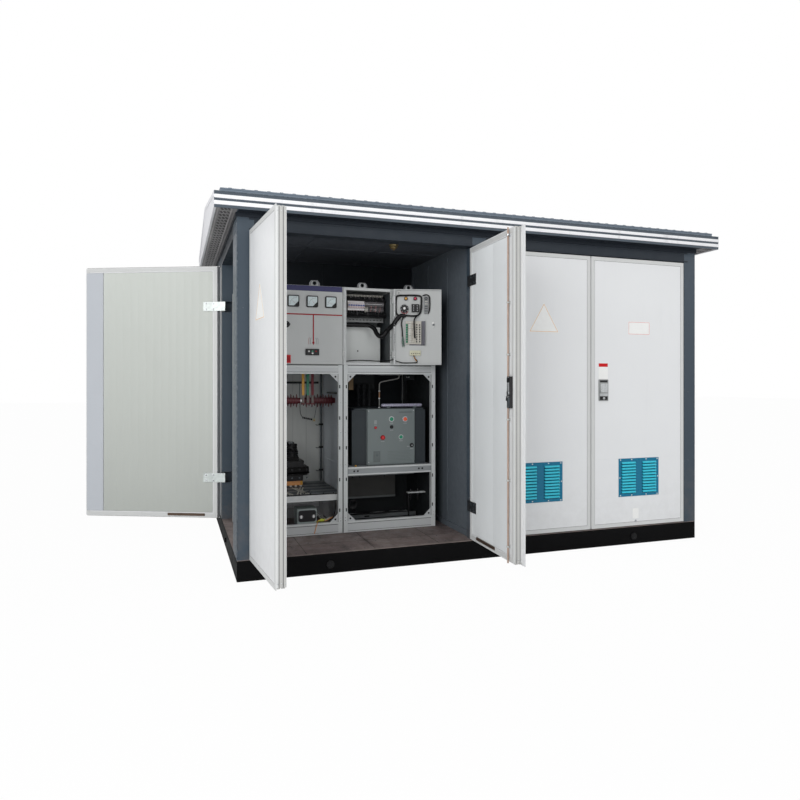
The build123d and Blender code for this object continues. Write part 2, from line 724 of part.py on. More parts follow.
# Cabinet doors on pins in front of their boxes
door_pin_y = cabinet_front - CABINET_DOOR_GAP - CABINET_DOOR
meter_pin_x = cabinet_left[0] + bay_width - CABINET_PIN_INSET
meter_door_width = bay_width - 2 * CABINET_PIN_INSET - CABINET_DOOR_SET
meter_door = Leaf("meter_door", meter_pin_x, door_pin_y, 180, -1, meter_door_width,
                  CABINET_HINGE_INSET, METER_DOOR_OPEN, 90)
relay_door = Leaf("relay_door", relay_pin_x, door_pin_y, 180, -1, RELAY_DOOR_WIDTH,
                  CABINET_HINGE_INSET, RELAY_DOOR_OPEN, 170)
cabinet_door_bottom = box_bottom + CABINET_DOOR_MARGIN
cabinet_door_top = cabinet_top - CABINET_DOOR_MARGIN


def cabinet_hinge_heights():
    """The middle of each hinge knuckle on a cabinet door."""
    return (cabinet_door_bottom + CABINET_HINGE_INSET, cabinet_door_top - CABINET_HINGE_INSET)


def shape_cabinet_door(leaf):
    """A tray-shaped door: a sheet with its four edges turned back, and two hinge knuckles."""
    u0 = CABINET_DOOR_SET
    u1 = u0 + leaf.width
    leaf.slab(u0, u1, 0, CABINET_DOOR, cabinet_door_bottom, cabinet_door_top)
    leaf.slab(u0 + CABINET_DOOR_EDGE, u1 - CABINET_DOOR_EDGE, CABINET_DOOR_SKIN, CABINET_DOOR,
              cabinet_door_bottom + CABINET_DOOR_EDGE, cabinet_door_top - CABINET_DOOR_EDGE,
              mode=Mode.SUBTRACT)
    for height in cabinet_hinge_heights():
        with Locations((0, 0, height)):
            Cylinder(CABINET_KNUCKLE, CABINET_KNUCKLE_HEIGHT)
        leaf.slab(0, u0, 0, CABINET_KNUCKLE, height - CABINET_KNUCKLE_HEIGHT / 2,
                  height + CABINET_KNUCKLE_HEIGHT / 2)
        with Locations((0, 0, height)):
            Cylinder(CABINET_PIN + PIN_PLAY, CABINET_KNUCKLE_HEIGHT, mode=Mode.SUBTRACT)


for leaf in (meter_door, relay_door):
    with BuildPart(leaf.plane()) as door:
        shape_cabinet_door(leaf)
    save(door.part, leaf.name)

# Fixed ears and pins that carry the cabinet doors
with BuildPart() as cabinet_hinges:
    for leaf in (meter_door, relay_door):
        for height in cabinet_hinge_heights():
            for side in (-1, 1):
                ear = height + side * (CABINET_KNUCKLE_HEIGHT + CABINET_EAR + 1) / 2
                block(leaf.pin_x - CABINET_KNUCKLE, leaf.pin_x + CABINET_KNUCKLE, door_pin_y, cabinet_front,
                      ear - CABINET_EAR / 2, ear + CABINET_EAR / 2)
                with Locations((leaf.pin_x, door_pin_y, ear)):
                    Cylinder(CABINET_KNUCKLE, CABINET_EAR)
            with Locations((leaf.pin_x, door_pin_y, height)):
                Cylinder(CABINET_PIN, CABINET_KNUCKLE_HEIGHT + 2 * CABINET_EAR)
save(cabinet_hinges.part, "cabinet_hinges")

# Panel meters on the meter door
with BuildPart(meter_door.plane()) as panel_meters:
    middle_u = CABINET_DOOR_SET + meter_door_width / 2
    for number in range(METER_COUNT):
        centre = middle_u + (number - (METER_COUNT - 1) / 2) * METER_PITCH
        meter_door.slab(centre - METER / 2, centre + METER / 2, -METER_DEPTH, 0,
                        METER_CENTRE_HEIGHT - METER / 2, METER_CENTRE_HEIGHT + METER / 2)
save(panel_meters.part, "panel_meters")

# Devices on the relay door's inner face
with BuildPart(relay_door.plane()) as relay_door_devices:
    for u, z, width, height, depth in (DOOR_SELECTOR, DOOR_RELAY, DOOR_TERMINALS, DOOR_CONNECTOR):
        relay_door.slab(u - width / 2, u + width / 2, CABINET_DOOR_SKIN, CABINET_DOOR_SKIN + depth,
                        z - height / 2, z + height / 2)
save(relay_door_devices.part, "relay_door_devices")

# Terminal rails and small breakers inside the relay box
with BuildPart() as relay_rails:
    for setback, low, high in RELAY_ROWS:
        block(cabinet_left[1] + RELAY_ROW_START, relay_pin_x - RELAY_ROW_END, cabinet_front + setback,
              cabinet_rear - BOX_SHEET, low, high)
save(relay_rails.part, "relay_rails")

# Breaker unit on its shelf
bay_left = cabinet_left[1] + CABINET_POST
bay_right = cabinet_left[1] + bay_width - CABINET_POST
breaker_middle = (bay_left + bay_right) / 2 + BREAKER_OFFSET
breaker_front = cabinet_front + BREAKER_SETBACK
shelf_front = cabinet_front + SHELF_SETBACK
shelf_rear = cabinet_rear - RAIL_SHEET - CABINET_PANEL
left_bay0 = cabinet_left[0] + CABINET_PANEL
left_bay1 = cabinet_left[0] + bay_width - CABINET_PANEL
with BuildPart() as cabinet_shelves:
    block(bay_left, bay_right, shelf_front, shelf_rear, SHELF_TOP - SHELF_SHEET, SHELF_TOP)
    for rail_y in (shelf_front, breaker_front + BREAKER_DEPTH - SHELF_RAIL):
        block(bay_left, bay_right, rail_y, rail_y + SHELF_SHEET, SHELF_TOP - SHELF_RAIL, SHELF_TOP)
    block(left_bay0, left_bay1, cabinet_front + CABINET_POST, cabinet_rear - CABINET_POST,
          TRAY_TOP - TRAY_DEPTH, TRAY_TOP)
save(cabinet_shelves.part, "cabinet_shelves")

with BuildPart() as breaker_unit:
    block(breaker_middle - BREAKER_WIDTH / 2, breaker_middle + BREAKER_WIDTH / 2, breaker_front,
          breaker_front + BREAKER_DEPTH, SHELF_TOP, SHELF_TOP + BREAKER_HEIGHT)
    panel_width, panel_height = BREAKER_PANEL
    block(breaker_middle - panel_width / 2, breaker_middle + panel_width / 2,
          breaker_front - BREAKER_PANEL_PROUD, breaker_front,
          SHELF_TOP, SHELF_TOP + panel_height)
save(breaker_unit.part, "breaker_unit")

# Busbars and their clamp in the left bay
clamp_depth, clamp_height = CLAMP_BAR
clamp_front = cabinet_front + CLAMP_SETBACK
with BuildPart() as busbar_clamp:
    block(left_bay0, left_bay1, clamp_front, clamp_front + clamp_depth,
          CLAMP_BOTTOM, CLAMP_BOTTOM + clamp_height)
save(busbar_clamp.part, "busbar_clamp")

with BuildPart() as busbars:
    for number in range(3):
        x0 = left + BUSBAR_FROM_LEFT + number * BUSBAR_PITCH
        block(x0, x0 + BUSBAR_WIDTH, clamp_front - BUSBAR_SHEET, clamp_front, BUSBAR_BOTTOM, box_bottom)
save(busbars.part, "busbars")

# Switch unit on its tray, and the small terminal box
with BuildPart() as switch_unit:
    width, depth, height = SWITCH_UNIT
    x1 = left + SWITCH_UNIT_RIGHT
    y0 = cabinet_front + SWITCH_UNIT_SETBACK
    block(x1 - width, x1, y0, y0 + depth, TRAY_TOP, TRAY_TOP + height)
save(switch_unit.part, "switch_unit")

with BuildPart() as terminal_box:
    width, depth, height = TERMINAL_BOX
    x0 = left + TERMINAL_BOX_FROM_LEFT
    y0 = cabinet_front + RAIL_SHEET
    block(x0, x0 + width, y0, y0 + depth, TERMINAL_BOX_BOTTOM, TERMINAL_BOX_BOTTOM + height)
save(terminal_box.part, "terminal_box")

# Lifting lugs and lamp
with BuildPart() as lifting_lugs:
    lug_front = cabinet_front + LUG_SETBACK
    hole_height = cabinet_top + LUG_HOLE_HEIGHT
    for x0 in cabinet_left:
        for middle in (x0 + LUG_FROM_LEFT, x0 + bay_width - LUG_FROM_RIGHT):
            block(middle - LUG_WIDTH / 2, middle + LUG_WIDTH / 2, lug_front, lug_front + LUG_SHEET,
                  cabinet_top, cabinet_top + LUG_HEIGHT)
            with Locations(Location((middle, lug_front + LUG_SHEET / 2, hole_height), (90, 0, 0))):
                Cylinder(LUG_HOLE, LUG_SHEET, mode=Mode.SUBTRACT)
save(lifting_lugs.part, "lifting_lugs")

with BuildPart() as ceiling_lamp:
    with Locations((left + LAMP_FROM_LEFT, front + LAMP_SETBACK, ceiling_level - LAMP_HEIGHT / 2)):
        Cylinder(LAMP_RADIUS, LAMP_HEIGHT)
save(ceiling_lamp.part, "ceiling_lamp")
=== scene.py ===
import bpy
import bmesh
import json
from math import cos, pi, radians, sin, sqrt, tan
from mathutils import Matrix, Vector
from random import Random


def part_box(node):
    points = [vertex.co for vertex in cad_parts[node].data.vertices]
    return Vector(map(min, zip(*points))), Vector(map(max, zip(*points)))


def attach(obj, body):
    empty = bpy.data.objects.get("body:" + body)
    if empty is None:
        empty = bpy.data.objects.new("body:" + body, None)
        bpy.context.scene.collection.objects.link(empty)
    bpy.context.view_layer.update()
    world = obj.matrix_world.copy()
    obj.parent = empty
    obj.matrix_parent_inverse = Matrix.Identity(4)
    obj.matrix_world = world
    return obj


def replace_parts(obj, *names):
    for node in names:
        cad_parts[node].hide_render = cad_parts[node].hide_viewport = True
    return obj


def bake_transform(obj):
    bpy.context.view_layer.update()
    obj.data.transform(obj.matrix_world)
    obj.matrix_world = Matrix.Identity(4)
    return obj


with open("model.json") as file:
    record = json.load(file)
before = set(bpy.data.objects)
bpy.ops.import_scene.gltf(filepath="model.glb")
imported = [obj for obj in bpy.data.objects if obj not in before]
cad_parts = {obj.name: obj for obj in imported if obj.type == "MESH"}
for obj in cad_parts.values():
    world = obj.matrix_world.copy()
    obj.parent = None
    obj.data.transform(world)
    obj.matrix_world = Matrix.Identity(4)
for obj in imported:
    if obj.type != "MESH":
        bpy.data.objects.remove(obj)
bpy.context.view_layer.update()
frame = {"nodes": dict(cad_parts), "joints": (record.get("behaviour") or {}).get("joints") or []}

# A compact substation: a steel kiosk with open doors, seen from its left front corner.
# Metres, in the frame of the CAD model: +X along the length, +Y to the rear, +Z up, origin under the base.
# The record's own solids keep their places; the pieces here add what is finer than them.

# Places and levels read from the solids
left, right = (corner.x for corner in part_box("base_long_beams"))
front, rear = (corner.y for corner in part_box("base_long_beams"))
ceiling_level, frame_top = (corner.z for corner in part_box("ceiling"))
floor_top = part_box("floor_plates")[1].z
door_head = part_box("top_beams")[0].z


def along(t):
    """The x of a distance from the kiosk's left end."""
    return left + t


def inward(s):
    """The y of a distance behind the kiosk's front face."""
    return front + s


def at(t, s, z):
    """The place t from the left end and s behind the front face."""
    return (along(t), inward(s), z)


# Materials: colours are written as they look on screen, and turned into linear light
def srgb(*values):
    """A linear colour from its 0 to 255 screen values."""
    shares = [value / 255 for value in values]
    return (*(share / 12.92 if share <= 0.04045 else ((share + 0.055) / 1.055) ** 2.4 for share in shares),
            1.0)


def darker(colour, share):
    return (*(part * share for part in colour[:3]), 1.0)


class Nodes:
    """One material, with the shader nodes that are added to it."""

    def __init__(self, name):
        self.material = bpy.data.materials.new(name)
        self.material.use_nodes = True
        self.tree = self.material.node_tree
        self.tree.nodes.clear()
        self.output = self.add("OutputMaterial")
        self.shader = self.add("BsdfPrincipled")
        self.put(self.output, 0, self.shader.outputs[0])
        self.place = self.add("TexCoord").outputs["Object"]

    def put(self, node, key, value):
        """Link a socket to a node's input, or set the input's value."""
        if isinstance(value, bpy.types.NodeSocket):
            self.tree.links.new(value, node.inputs[key])
        else:
            node.inputs[key].default_value = value

    def add(self, kind, inputs=(), **settings):
        node = self.tree.nodes.new("ShaderNode" + kind)
        for key, value in settings.items():
            setattr(node, key, value)
        for key, value in dict(inputs).items():
            self.put(node, key, value)
        return node

    def noise(self, scale, detail=4.0, rough=0.6, stretch=None):
        """Cloudy noise over the place, which can be scaled along each axis."""
        place = self.place
        if stretch:
            place = self.add("Mapping", {"Scale": stretch, "Vector": place}).outputs[0]
        inputs = {"Scale": scale, "Detail": detail, "Roughness": rough, "Vector": place}
        return self.add("TexNoise", inputs).outputs["Fac"]

    def ramp(self, value, low, high, start=0.0, end=1.0):
        """A value spread from low..high to start..end."""
        inputs = {"Value": value, "From Min": low, "From Max": high, "To Min": start, "To Max": end}
        return self.add("MapRange", inputs).outputs[0]

    def maths(self, operation, first, second):
        return self.add("Math", {0: first, 1: second}, operation=operation).outputs[0]

    def mix(self, share, first, second):
        """A colour between two others; each is a colour or a socket."""
        return self.add("Mix", {0: share, 6: first, 7: second}, data_type="RGBA").outputs[2]

    def height(self):
        return self.add("SeparateXYZ", {0: self.place}).outputs["Z"]

    def rounded(self, radius):
        """The surface direction with edges rounded over a radius."""
        return self.add("Bevel", {"Radius": radius}, samples=4).outputs[0]

    def edges(self, radius):
        """1 at the solid's edges, 0 on its faces."""
        normal = self.add("NewGeometry").outputs["Normal"]
        dot = self.add("VectorMath", {0: self.rounded(radius), 1: normal}, operation="DOT_PRODUCT")
        return self.ramp(dot.outputs["Value"], 0.995, 0.90)

    def bump(self, height, strength, distance, soft=0.0):
        inputs = {"Strength": strength, "Distance": distance, "Height": height}
        if soft:
            inputs["Normal"] = self.rounded(soft)
        return self.add("Bump", inputs).outputs[0]

    def finish(self, colour, rough, bump, metallic=0.0, specular=0.5):
        """Set the shader's inputs and give the material back."""
        for key, value in (("Base Color", colour), ("Roughness", rough), ("Metallic", metallic),
                           ("Specular IOR Level", specular), ("Normal", bump)):
            self.put(self.shader, key, value)
        return self.material


WORN_EDGE = 0.004
SOFT_EDGE = 0.0016


def paint(name, screen, rough=0.42, metallic=0.0, dirt=0.35, grain=220.0, grain_depth=0.00012, wear=None,
          low_dirt=0.0, tint=None, specular=0.5, low_shade=0.0):
    """Paint on sheet steel: cloudy colour, fine orange-peel grain, dust that gathers and worn edges, with
    painted shade, darker towards the floor, where low_shade is given.
    """
    n = Nodes(name)
    colour = srgb(*screen)
    base = n.mix(n.ramp(n.noise(1.7, 5, 0.62), 0.32, 0.72), colour, darker(colour, 1 - 0.16 * dirt))
    if tint:
        base = n.mix(n.ramp(n.noise(0.9, 2, 0.5), 0.35, 0.75, 0, 0.6), base, srgb(*tint))
    base = n.mix(n.ramp(n.noise(9, 6, 0.7, (1, 1, 0.18)), 0.56, 0.86, 0, dirt), base, darker(colour, 0.72))
    base = n.mix(n.ramp(n.noise(95, 2, 0.5), 0.70, 0.80, 0, 0.5 * dirt), base, darker(colour, 0.5))
    if low_dirt:
        height = n.ramp(n.height(), floor_top, floor_top + 0.5, 1, 0)
        splashes = n.maths("MULTIPLY", height, n.ramp(n.noise(14, 6, 0.7), 0.38, 0.7, 0, low_dirt))
        base = n.mix(splashes, base, srgb(120, 108, 98))
    # Painted shade: the colour darkens from the door head down to the floor by the share low_shade
    if low_shade:
        base = n.mix(n.ramp(n.height(), floor_top, door_head, low_shade, 0), base, darker(colour, 0.5))
    if wear:
        worn = n.maths("MULTIPLY", n.edges(WORN_EDGE), n.ramp(n.noise(40, 5, 0.7), 0.42, 0.62, 0, 0.8))
        base = n.mix(worn, base, srgb(*wear))
    return n.finish(base, n.ramp(n.noise(23, 4), 0.3, 0.75, rough - 0.06, rough + 0.12),
                    n.bump(n.noise(grain, 3, 0.6), 0.25, grain_depth, SOFT_EDGE), metallic, specular)


def plain(name, screen, rough=0.45, metallic=0.0, variation=0.12, grain=400.0, depth=0.00006, specular=0.5):
    """A moulded or plated finish: slight colour variation and a fine grain."""
    n = Nodes(name)
    colour = srgb(*screen)
    base = n.mix(n.ramp(n.noise(26, 5), 0.3, 0.75), colour, darker(colour, 1 - variation))
    return n.finish(base, n.ramp(n.noise(70, 3), 0.3, 0.75, rough - 0.05, rough + 0.1),
                    n.bump(n.noise(grain, 2), 0.2, depth), metallic, specular)


def brushed(name, screen, rough):
    """Rolled or brushed metal with fine upright lines."""
    n = Nodes(name)
    colour = srgb(*screen)
    lines = n.noise(320, 4, 0.6, (1, 1, 0.02))
    base = n.mix(n.ramp(lines, 0.3, 0.7), colour, darker(colour, 0.72))
    base = n.mix(n.ramp(n.noise(11, 5, 0.65), 0.5, 0.8, 0, 0.5), base, darker(colour, 0.6))
    return n.finish(base, n.ramp(n.noise(17, 4), 0.3, 0.75, rough - 0.08, rough + 0.14),
                    n.bump(lines, 0.18, 0.0001), 1.0)


def floor_finish():
    """Worn floor plates: brown-grey paint, trodden patches, scratches and dust."""
    n = Nodes("worn_floor")
    brown, pale, dark = srgb(116, 101, 99), srgb(150, 138, 133), srgb(66, 58, 59)
    base = n.mix(n.ramp(n.noise(3.2, 6, 0.68), 0.36, 0.68), brown, pale)
    base = n.mix(n.ramp(n.noise(7.5, 8, 0.72, (1, 0.4, 1)), 0.46, 0.70, 0, 0.85), base, dark)
    base = n.mix(n.ramp(n.noise(42, 5, 0.7), 0.58, 0.72, 0, 0.6), base, srgb(176, 164, 156))
    base = n.mix(n.ramp(n.noise(120, 3, 0.5, (0.06, 1, 1)), 0.66, 0.74, 0, 0.6), base, pale)
    return n.finish(base, n.ramp(n.noise(9, 6), 0.3, 0.75, 0.48, 0.85),
                    n.bump(n.noise(60, 6, 0.7), 0.4, 0.0006))


def banded(name, white, slate, levels):
    """The fascia's paint: slate and white bands that change at the given levels, from the lowest up."""
    n = Nodes(name)
    steps = [n.maths("GREATER_THAN", n.height(), level) for level in levels]
    share = steps[0]
    for number, step in enumerate(steps[1:]):
        share = n.maths("ADD" if number % 2 else "SUBTRACT", share, step)
    clouds = n.ramp(n.noise(2.5, 5), 0.3, 0.75)
    deep, pale = (n.mix(clouds, srgb(*screen), darker(srgb(*screen), dim)) for screen,
                  dim in ((slate, 0.82), (white, 0.90)))
    streaks = n.ramp(n.noise(16, 6, 0.7, (1, 1, 0.12)), 0.55, 0.85, 0, 0.35)
    return n.finish(n.mix(streaks, n.mix(share, deep, pale), srgb(96, 98, 104)),
                    n.ramp(n.noise(23, 4), 0.3, 0.75, 0.34, 0.5), n.bump(n.noise(220, 3), 0.2, 0.0001))


WHITE, SLATE = (240, 240, 242), (58, 70, 81)
slate_paint = paint("slate_paint", SLATE, 0.36, dirt=0.45, wear=(140, 148, 156), low_dirt=0.3,
                    specular=0.35)
# The beams' paint is darker than the posts' slate: painted shade for the beams under the eaves
shaded_beam_paint = paint("shaded_beam_paint", (38, 45, 53), dirt=0.4, specular=0.22)
# The room's back wall is its own dark paint, darkened further as painted shade for the depth of the room
back_walls = paint("back_wall_paint", (36, 40, 45), 0.55, dirt=0.5, specular=0.15)
dark_walls = paint("dark_room_paint", (92, 99, 106), 0.5, dirt=0.6, specular=0.25)
ceiling_paint = paint("ceiling_paint", (84, 88, 95), 0.6, dirt=0.5, specular=0.2)
black_paint = paint("black_base_paint", (11, 11, 12), 0.5, dirt=0.5, wear=(58, 56, 54), grain=120,
                    specular=0.06)
gable_paint = paint("gable_paint", (228, 228, 232), 0.4, dirt=0.3)
roof_paint = paint("roof_sheet_paint", (108, 122, 136), 0.4, dirt=0.5, wear=(146, 154, 162))
soffit_dark = paint("front_soffit_paint", (34, 40, 48), 0.45, dirt=0.5, specular=0.2)
soffit_sheet = paint("soffit_paint", (150, 147, 148), dirt=0.5, tint=(100, 96, 98), specular=0.3)
hole_black = plain("soffit_hole", (12, 12, 13), 0.7, specular=0.0)
worn_floor = floor_finish()
dark_joint = paint("floor_joint", (44, 40, 40), 0.7, dirt=0.6)
floor_edge = paint("floor_edge_steel", (128, 116, 110), 0.5, dirt=0.6, grain=90)
pale_paint = paint("pale_panel_paint", (226, 227, 228), 0.34, dirt=0.16, low_dirt=0.10)
# The leaves' inner sheets carry painted shade, darker towards the floor (low_shade)
inner_sheet_paint = paint("inner_sheet_paint", (202, 206, 200), 0.38, dirt=0.2, low_shade=0.55)
clean_sheet_paint = paint("clean_sheet_paint", (238, 241, 242), 0.36, dirt=0.15, low_shade=0.2)
strip_paint = paint("end_strip_paint", (188, 192, 198), 0.34, dirt=0.14)
rim_paint = paint("leaf_rim_paint", (182, 182, 179), 0.38, dirt=0.3)
groove_grey = plain("leaf_groove", (120, 120, 121), 0.55)
edge_paint = paint("leaf_edge_paint", (206, 207, 206), 0.34, dirt=0.25)
end_wall_paint = paint("end_wall_paint", (212, 213, 215), 0.36, dirt=0.3, low_dirt=0.25)
zinc = plain("zinc_plate", (196, 202, 200), 0.36, 0.85, 0.3, grain=90, depth=0.0002)
dark_zinc = plain("dark_zinc_plate", (92, 98, 102), 0.4, 0.8, 0.35, grain=120, depth=0.0002)
hinge_black = plain("black_hinge", (44, 46, 49), 0.42, 0.3, 0.3, specular=0.3)
steel_bright = brushed("bright_steel", (205, 208, 210), 0.26)
handle_steel = brushed("handle_steel", (166, 168, 168), 0.32)
rod_steel = plain("browned_rod", (176, 148, 130), 0.42, 0.2, 0.3)
lock_steel = plain("lock_black", (30, 30, 32), 0.4, 0.0, 0.3, specular=0.3)
stay_steel = plain("stay_bar_brown", (92, 74, 62), 0.42, 0.6, 0.3)
vent_paint = paint("vent_blue", (18, 110, 142), 0.3, dirt=0.25, grain=300, specular=0.3)
# The hoods are pressed from the same blue plate; their lighter blue is a painted highlight
vent_hood_highlight = paint("vent_blue_hoods", (44, 190, 212), 0.26, dirt=0.15, grain=300, specular=0.4)
gauze = paint("vent_gauze", (10, 58, 82), 0.6, dirt=0.5, specular=0.1)
amber_line = plain("amber_line", (226, 172, 96))
red_line = plain("red_outline", (214, 96, 96))
pale_label = plain("pale_label", (238, 238, 236), 0.5, variation=0.05)
cabinet_paint = paint("cabinet_grey", (194, 196, 195), dirt=0.28, grain=420, grain_depth=0.0002)
cabinet_frame = paint("cabinet_frame_paint", (196, 199, 200), 0.4, dirt=0.25, grain=300)
cabinet_inside = paint("cabinet_back_sheet", (150, 154, 156), 0.45, dirt=0.4)
post_steel = paint("post_steel", (208, 211, 211), 0.38, dirt=0.2, grain=300)
edge_bright = plain("case_edge_paint", (206, 208, 208), 0.42)
plate_grey = paint("mounting_plate", (226, 229, 227), dirt=0.2)
shadow_steel = paint("shadow_steel", (112, 116, 118), 0.45, 0.2, dirt=0.4)
shadow_grey = paint("bay_side_sheet", (66, 71, 75), 0.5, dirt=0.5)
# Near-black sheet that lines the right bay: painted shade
bay_dark = paint("bay_back_sheet", (40, 43, 45), 0.5, dirt=0.5, specular=0.15)
bay_grey = paint("left_bay_sheet", (210, 212, 209), 0.5, dirt=0.4)
side_grey = paint("left_bay_side_sheet", (202, 208, 214), 0.5, dirt=0.4)
# Near-white sheets for the low part of the left bay: painted light for the light reaching it from the floor
lit_low_sheet = paint("low_bay_sheet", (238, 240, 242), 0.5, dirt=0.3)
brown_back = paint("brown_back_sheet", (72, 72, 70), 0.55, dirt=0.5)
slot_dark = plain("slot_shadow", (20, 21, 22), 0.7, specular=0.1)
rail_zinc = plain("rail_zinc", (132, 134, 134), 0.45, 0.4)
lug_steel = plain("lug_steel", (132, 133, 136), 0.4, 0.4, 0.3)
lug_black = plain("boss_black", (24, 24, 25), 0.5, specular=0.2)
breaker_front = paint("breaker_front_paint", (118, 127, 127), 0.4, dirt=0.25, grain=500)
breaker_side = paint("breaker_side_paint", (52, 58, 62), 0.45, dirt=0.3, specular=0.25)
breaker_edge = paint("breaker_edge_paint", (92, 100, 102), dirt=0.25)
legend_grey = plain("legend_plate", (150, 156, 156), 0.5)
legend_dark = plain("legend_dark", (104, 112, 112), 0.5)
bar_pale = plain("bar_pale", (172, 170, 190), 0.25, 0.25)
button_green = plain("green_button", (30, 140, 104), 0.3)
button_red = plain("red_button", (206, 40, 44), 0.3)
button_orange = plain("orange_button", (238, 96, 60), 0.3)
mimic_cap = plain("magenta_cap", (196, 30, 70), 0.3)
red_paint = plain("red_paint", (200, 14, 20), 0.5, specular=0.25)
dark_red = plain("mimic_red", (158, 26, 32), 0.5, specular=0.25)
mimic_blue = plain("mimic_blue", (62, 62, 104), 0.5, specular=0.3)
glass_dial = plain("dial_face", (206, 220, 222), 0.18)
black_plastic = plain("black_plastic", (20, 20, 22), 0.42, specular=0.25)
dark_plastic = plain("grey_plastic", (96, 92, 98))
white_plastic = plain("white_plastic", (232, 232, 230), 0.4)
ivory_plastic = plain("ivory_plastic", (218, 216, 190))
device_grey = plain("device_grey", (128, 130, 132), 0.4)
bracket_grey = plain("bracket_grey", (104, 104, 114))
mcb_white = plain("mcb_white", (206, 198, 198), 0.4)
mcb_pink = plain("mcb_pink", (190, 140, 136))
toggle_blue = plain("toggle_blue", (34, 72, 150), 0.35)
terminal_grey = plain("terminal_grey", (104, 100, 102), 0.5)
terminal_pale = plain("terminal_pale", (206, 202, 192), 0.5)
yellow_sleeve = plain("yellow_sleeve", (206, 150, 48))
green_sleeve = plain("green_sleeve", (30, 120, 88))
red_sleeve = plain("red_sleeve", (150, 26, 40))
yellow_green = plain("earth_wire", (196, 200, 60), 0.5)
orange_block = plain("orange_block", (214, 148, 90), 0.5)
maroon = plain("maroon_insulator", (84, 16, 26), 0.32, specular=0.35)
busbar_red = plain("busbar_red", (104, 22, 36), specular=0.3)
bus_metal = plain("bus_metal", (96, 88, 84), 0.45, 0.3)
switch_black = plain("switch_moulding", (14, 13, 13), 0.5, specular=0.12)
socket_grey = plain("socket_case", (140, 150, 148))
tan_board = plain("tan_board", (120, 96, 62), 0.6)
pipe_pale = plain("pale_pipe", (122, 122, 120), 0.38, 0.3)
pipe_copper = plain("copper_joint", (130, 98, 74), 0.4, 0.4)
lamp_metal = plain("lamp_bronze", (150, 132, 92), 0.35, 0.7)
lamp_glow = plain("lamp_globe", (126, 106, 70), 0.2, 0.3)

# Camera: fitted to the photograph's verticals and the base's and eaves' corners
PHOTO = 800
FOCAL_PIXELS = 691.8
PRINCIPAL = (432.0, 382.1)
CAMERA_YAW = radians(20.52)
CAMERA_PLACE = (-2.056, -5.373, 1.195)
SENSOR = 36.0


def place_in_scene(name, data):
    made = bpy.data.objects.new(name, data)
    bpy.context.scene.collection.objects.link(made)
    return made


camera_data = bpy.data.cameras.new("camera")
camera_data.sensor_width = SENSOR
camera_data.lens = SENSOR * FOCAL_PIXELS / PHOTO
camera_data.shift_x = -(PRINCIPAL[0] - PHOTO / 2) / PHOTO
camera_data.shift_y = -(PHOTO / 2 - PRINCIPAL[1]) / PHOTO
camera = place_in_scene("camera", camera_data)
camera.location = CAMERA_PLACE
camera.rotation_euler = (pi / 2, 0, -CAMERA_YAW)
bpy.context.scene.camera = camera
bpy.context.scene.view_settings.view_transform = "Standard"

# Light: an even pale sky and three broad lamps, at a level where white paint stays under white
SKY_COLOUR = (0.97, 0.985, 1.0, 1)
SKY_STRENGTH = 0.50
LAMPS = (("left_lamp", (-5.2, -6.2, 2.4), (0.2, -1.0, 1.2), 4.0, 270),
         ("front_lamp", (1.4, -8.4, 3.4), (0.8, -0.6, 1.1), 5.0, 95),
         ("side_lamp", (5.5, -5.5, 4.5), (0.6, -0.5, 1.0), 4.0, 35))

world = bpy.data.worlds.new("studio")
bpy.context.scene.world = world
world.use_nodes = True
sky = world.node_tree
sky.nodes.clear()
sky_kinds = ("Background", "Background", "LightPath", "Math", "Math", "MixShader", "OutputWorld")
seen, lighting, path, either, any_ray, chosen, world_output = (
    sky.nodes.new("ShaderNode" + kind) for kind in sky_kinds)
either.operation = any_ray.operation = "MAXIMUM"
seen.inputs[0].default_value = (1, 1, 1, 1)
lighting.inputs[0].default_value = SKY_COLOUR
lighting.inputs[1].default_value = SKY_STRENGTH
for source, target in ((path.outputs["Is Camera Ray"], either.inputs[0]),
                       (path.outputs["Is Glossy Ray"], either.inputs[1]),
                       (either.outputs[0], any_ray.inputs[0]),
                       (path.outputs["Is Transmission Ray"], any_ray.inputs[1]),
                       (any_ray.outputs[0], chosen.inputs[0]), (lighting.outputs[0], chosen.inputs[1]),
                       (seen.outputs[0], chosen.inputs[2]), (chosen.outputs[0], world_output.inputs[0])):
    sky.links.new(source, target)

for name, place, target, size, power in LAMPS:
    lamp_data = bpy.data.lights.new(name, "AREA")
    lamp_data.size, lamp_data.energy = size, power
    lamp = place_in_scene(name, lamp_data)
    lamp.location = place
    lamp.rotation_euler = (Vector(target) - Vector(place)).to_track_quat("-Z", "Y").to_euler()

# Floor of the studio: white where seen, with the object's shadow
FLOOR_REACH = 40
GROUND_COLOUR = (0.86, 0.86, 0.86, 1)
GROUND_GLOW = 0.97
floor_mesh = bpy.data.meshes.new("studio_floor")
floor_corners = [(x * FLOOR_REACH, y * FLOOR_REACH, 0) for x, y in ((-1, -1), (1, -1), (1, 1), (-1, 1))]
floor_mesh.from_pydata(floor_corners, [], [(0, 1, 2, 3)])
studio_floor = place_in_scene("studio_floor", floor_mesh)
ground = Nodes("studio_floor")
ground.put(ground.shader, "Base Color", GROUND_COLOUR)
ground.put(ground.shader, "Roughness", 0.9)
glow = ground.maths("MULTIPLY", ground.add("LightPath").outputs["Is Camera Ray"], GROUND_GLOW)
ground_mix = ground.add("MixShader", {0: glow, 1: ground.shader.outputs[0],
                                      2: ground.add("Emission", {1: 1.0}).outputs[0]})
ground.put(ground.output, 0, ground_mix.outputs[0])
floor_mesh.materials.append(ground.material)


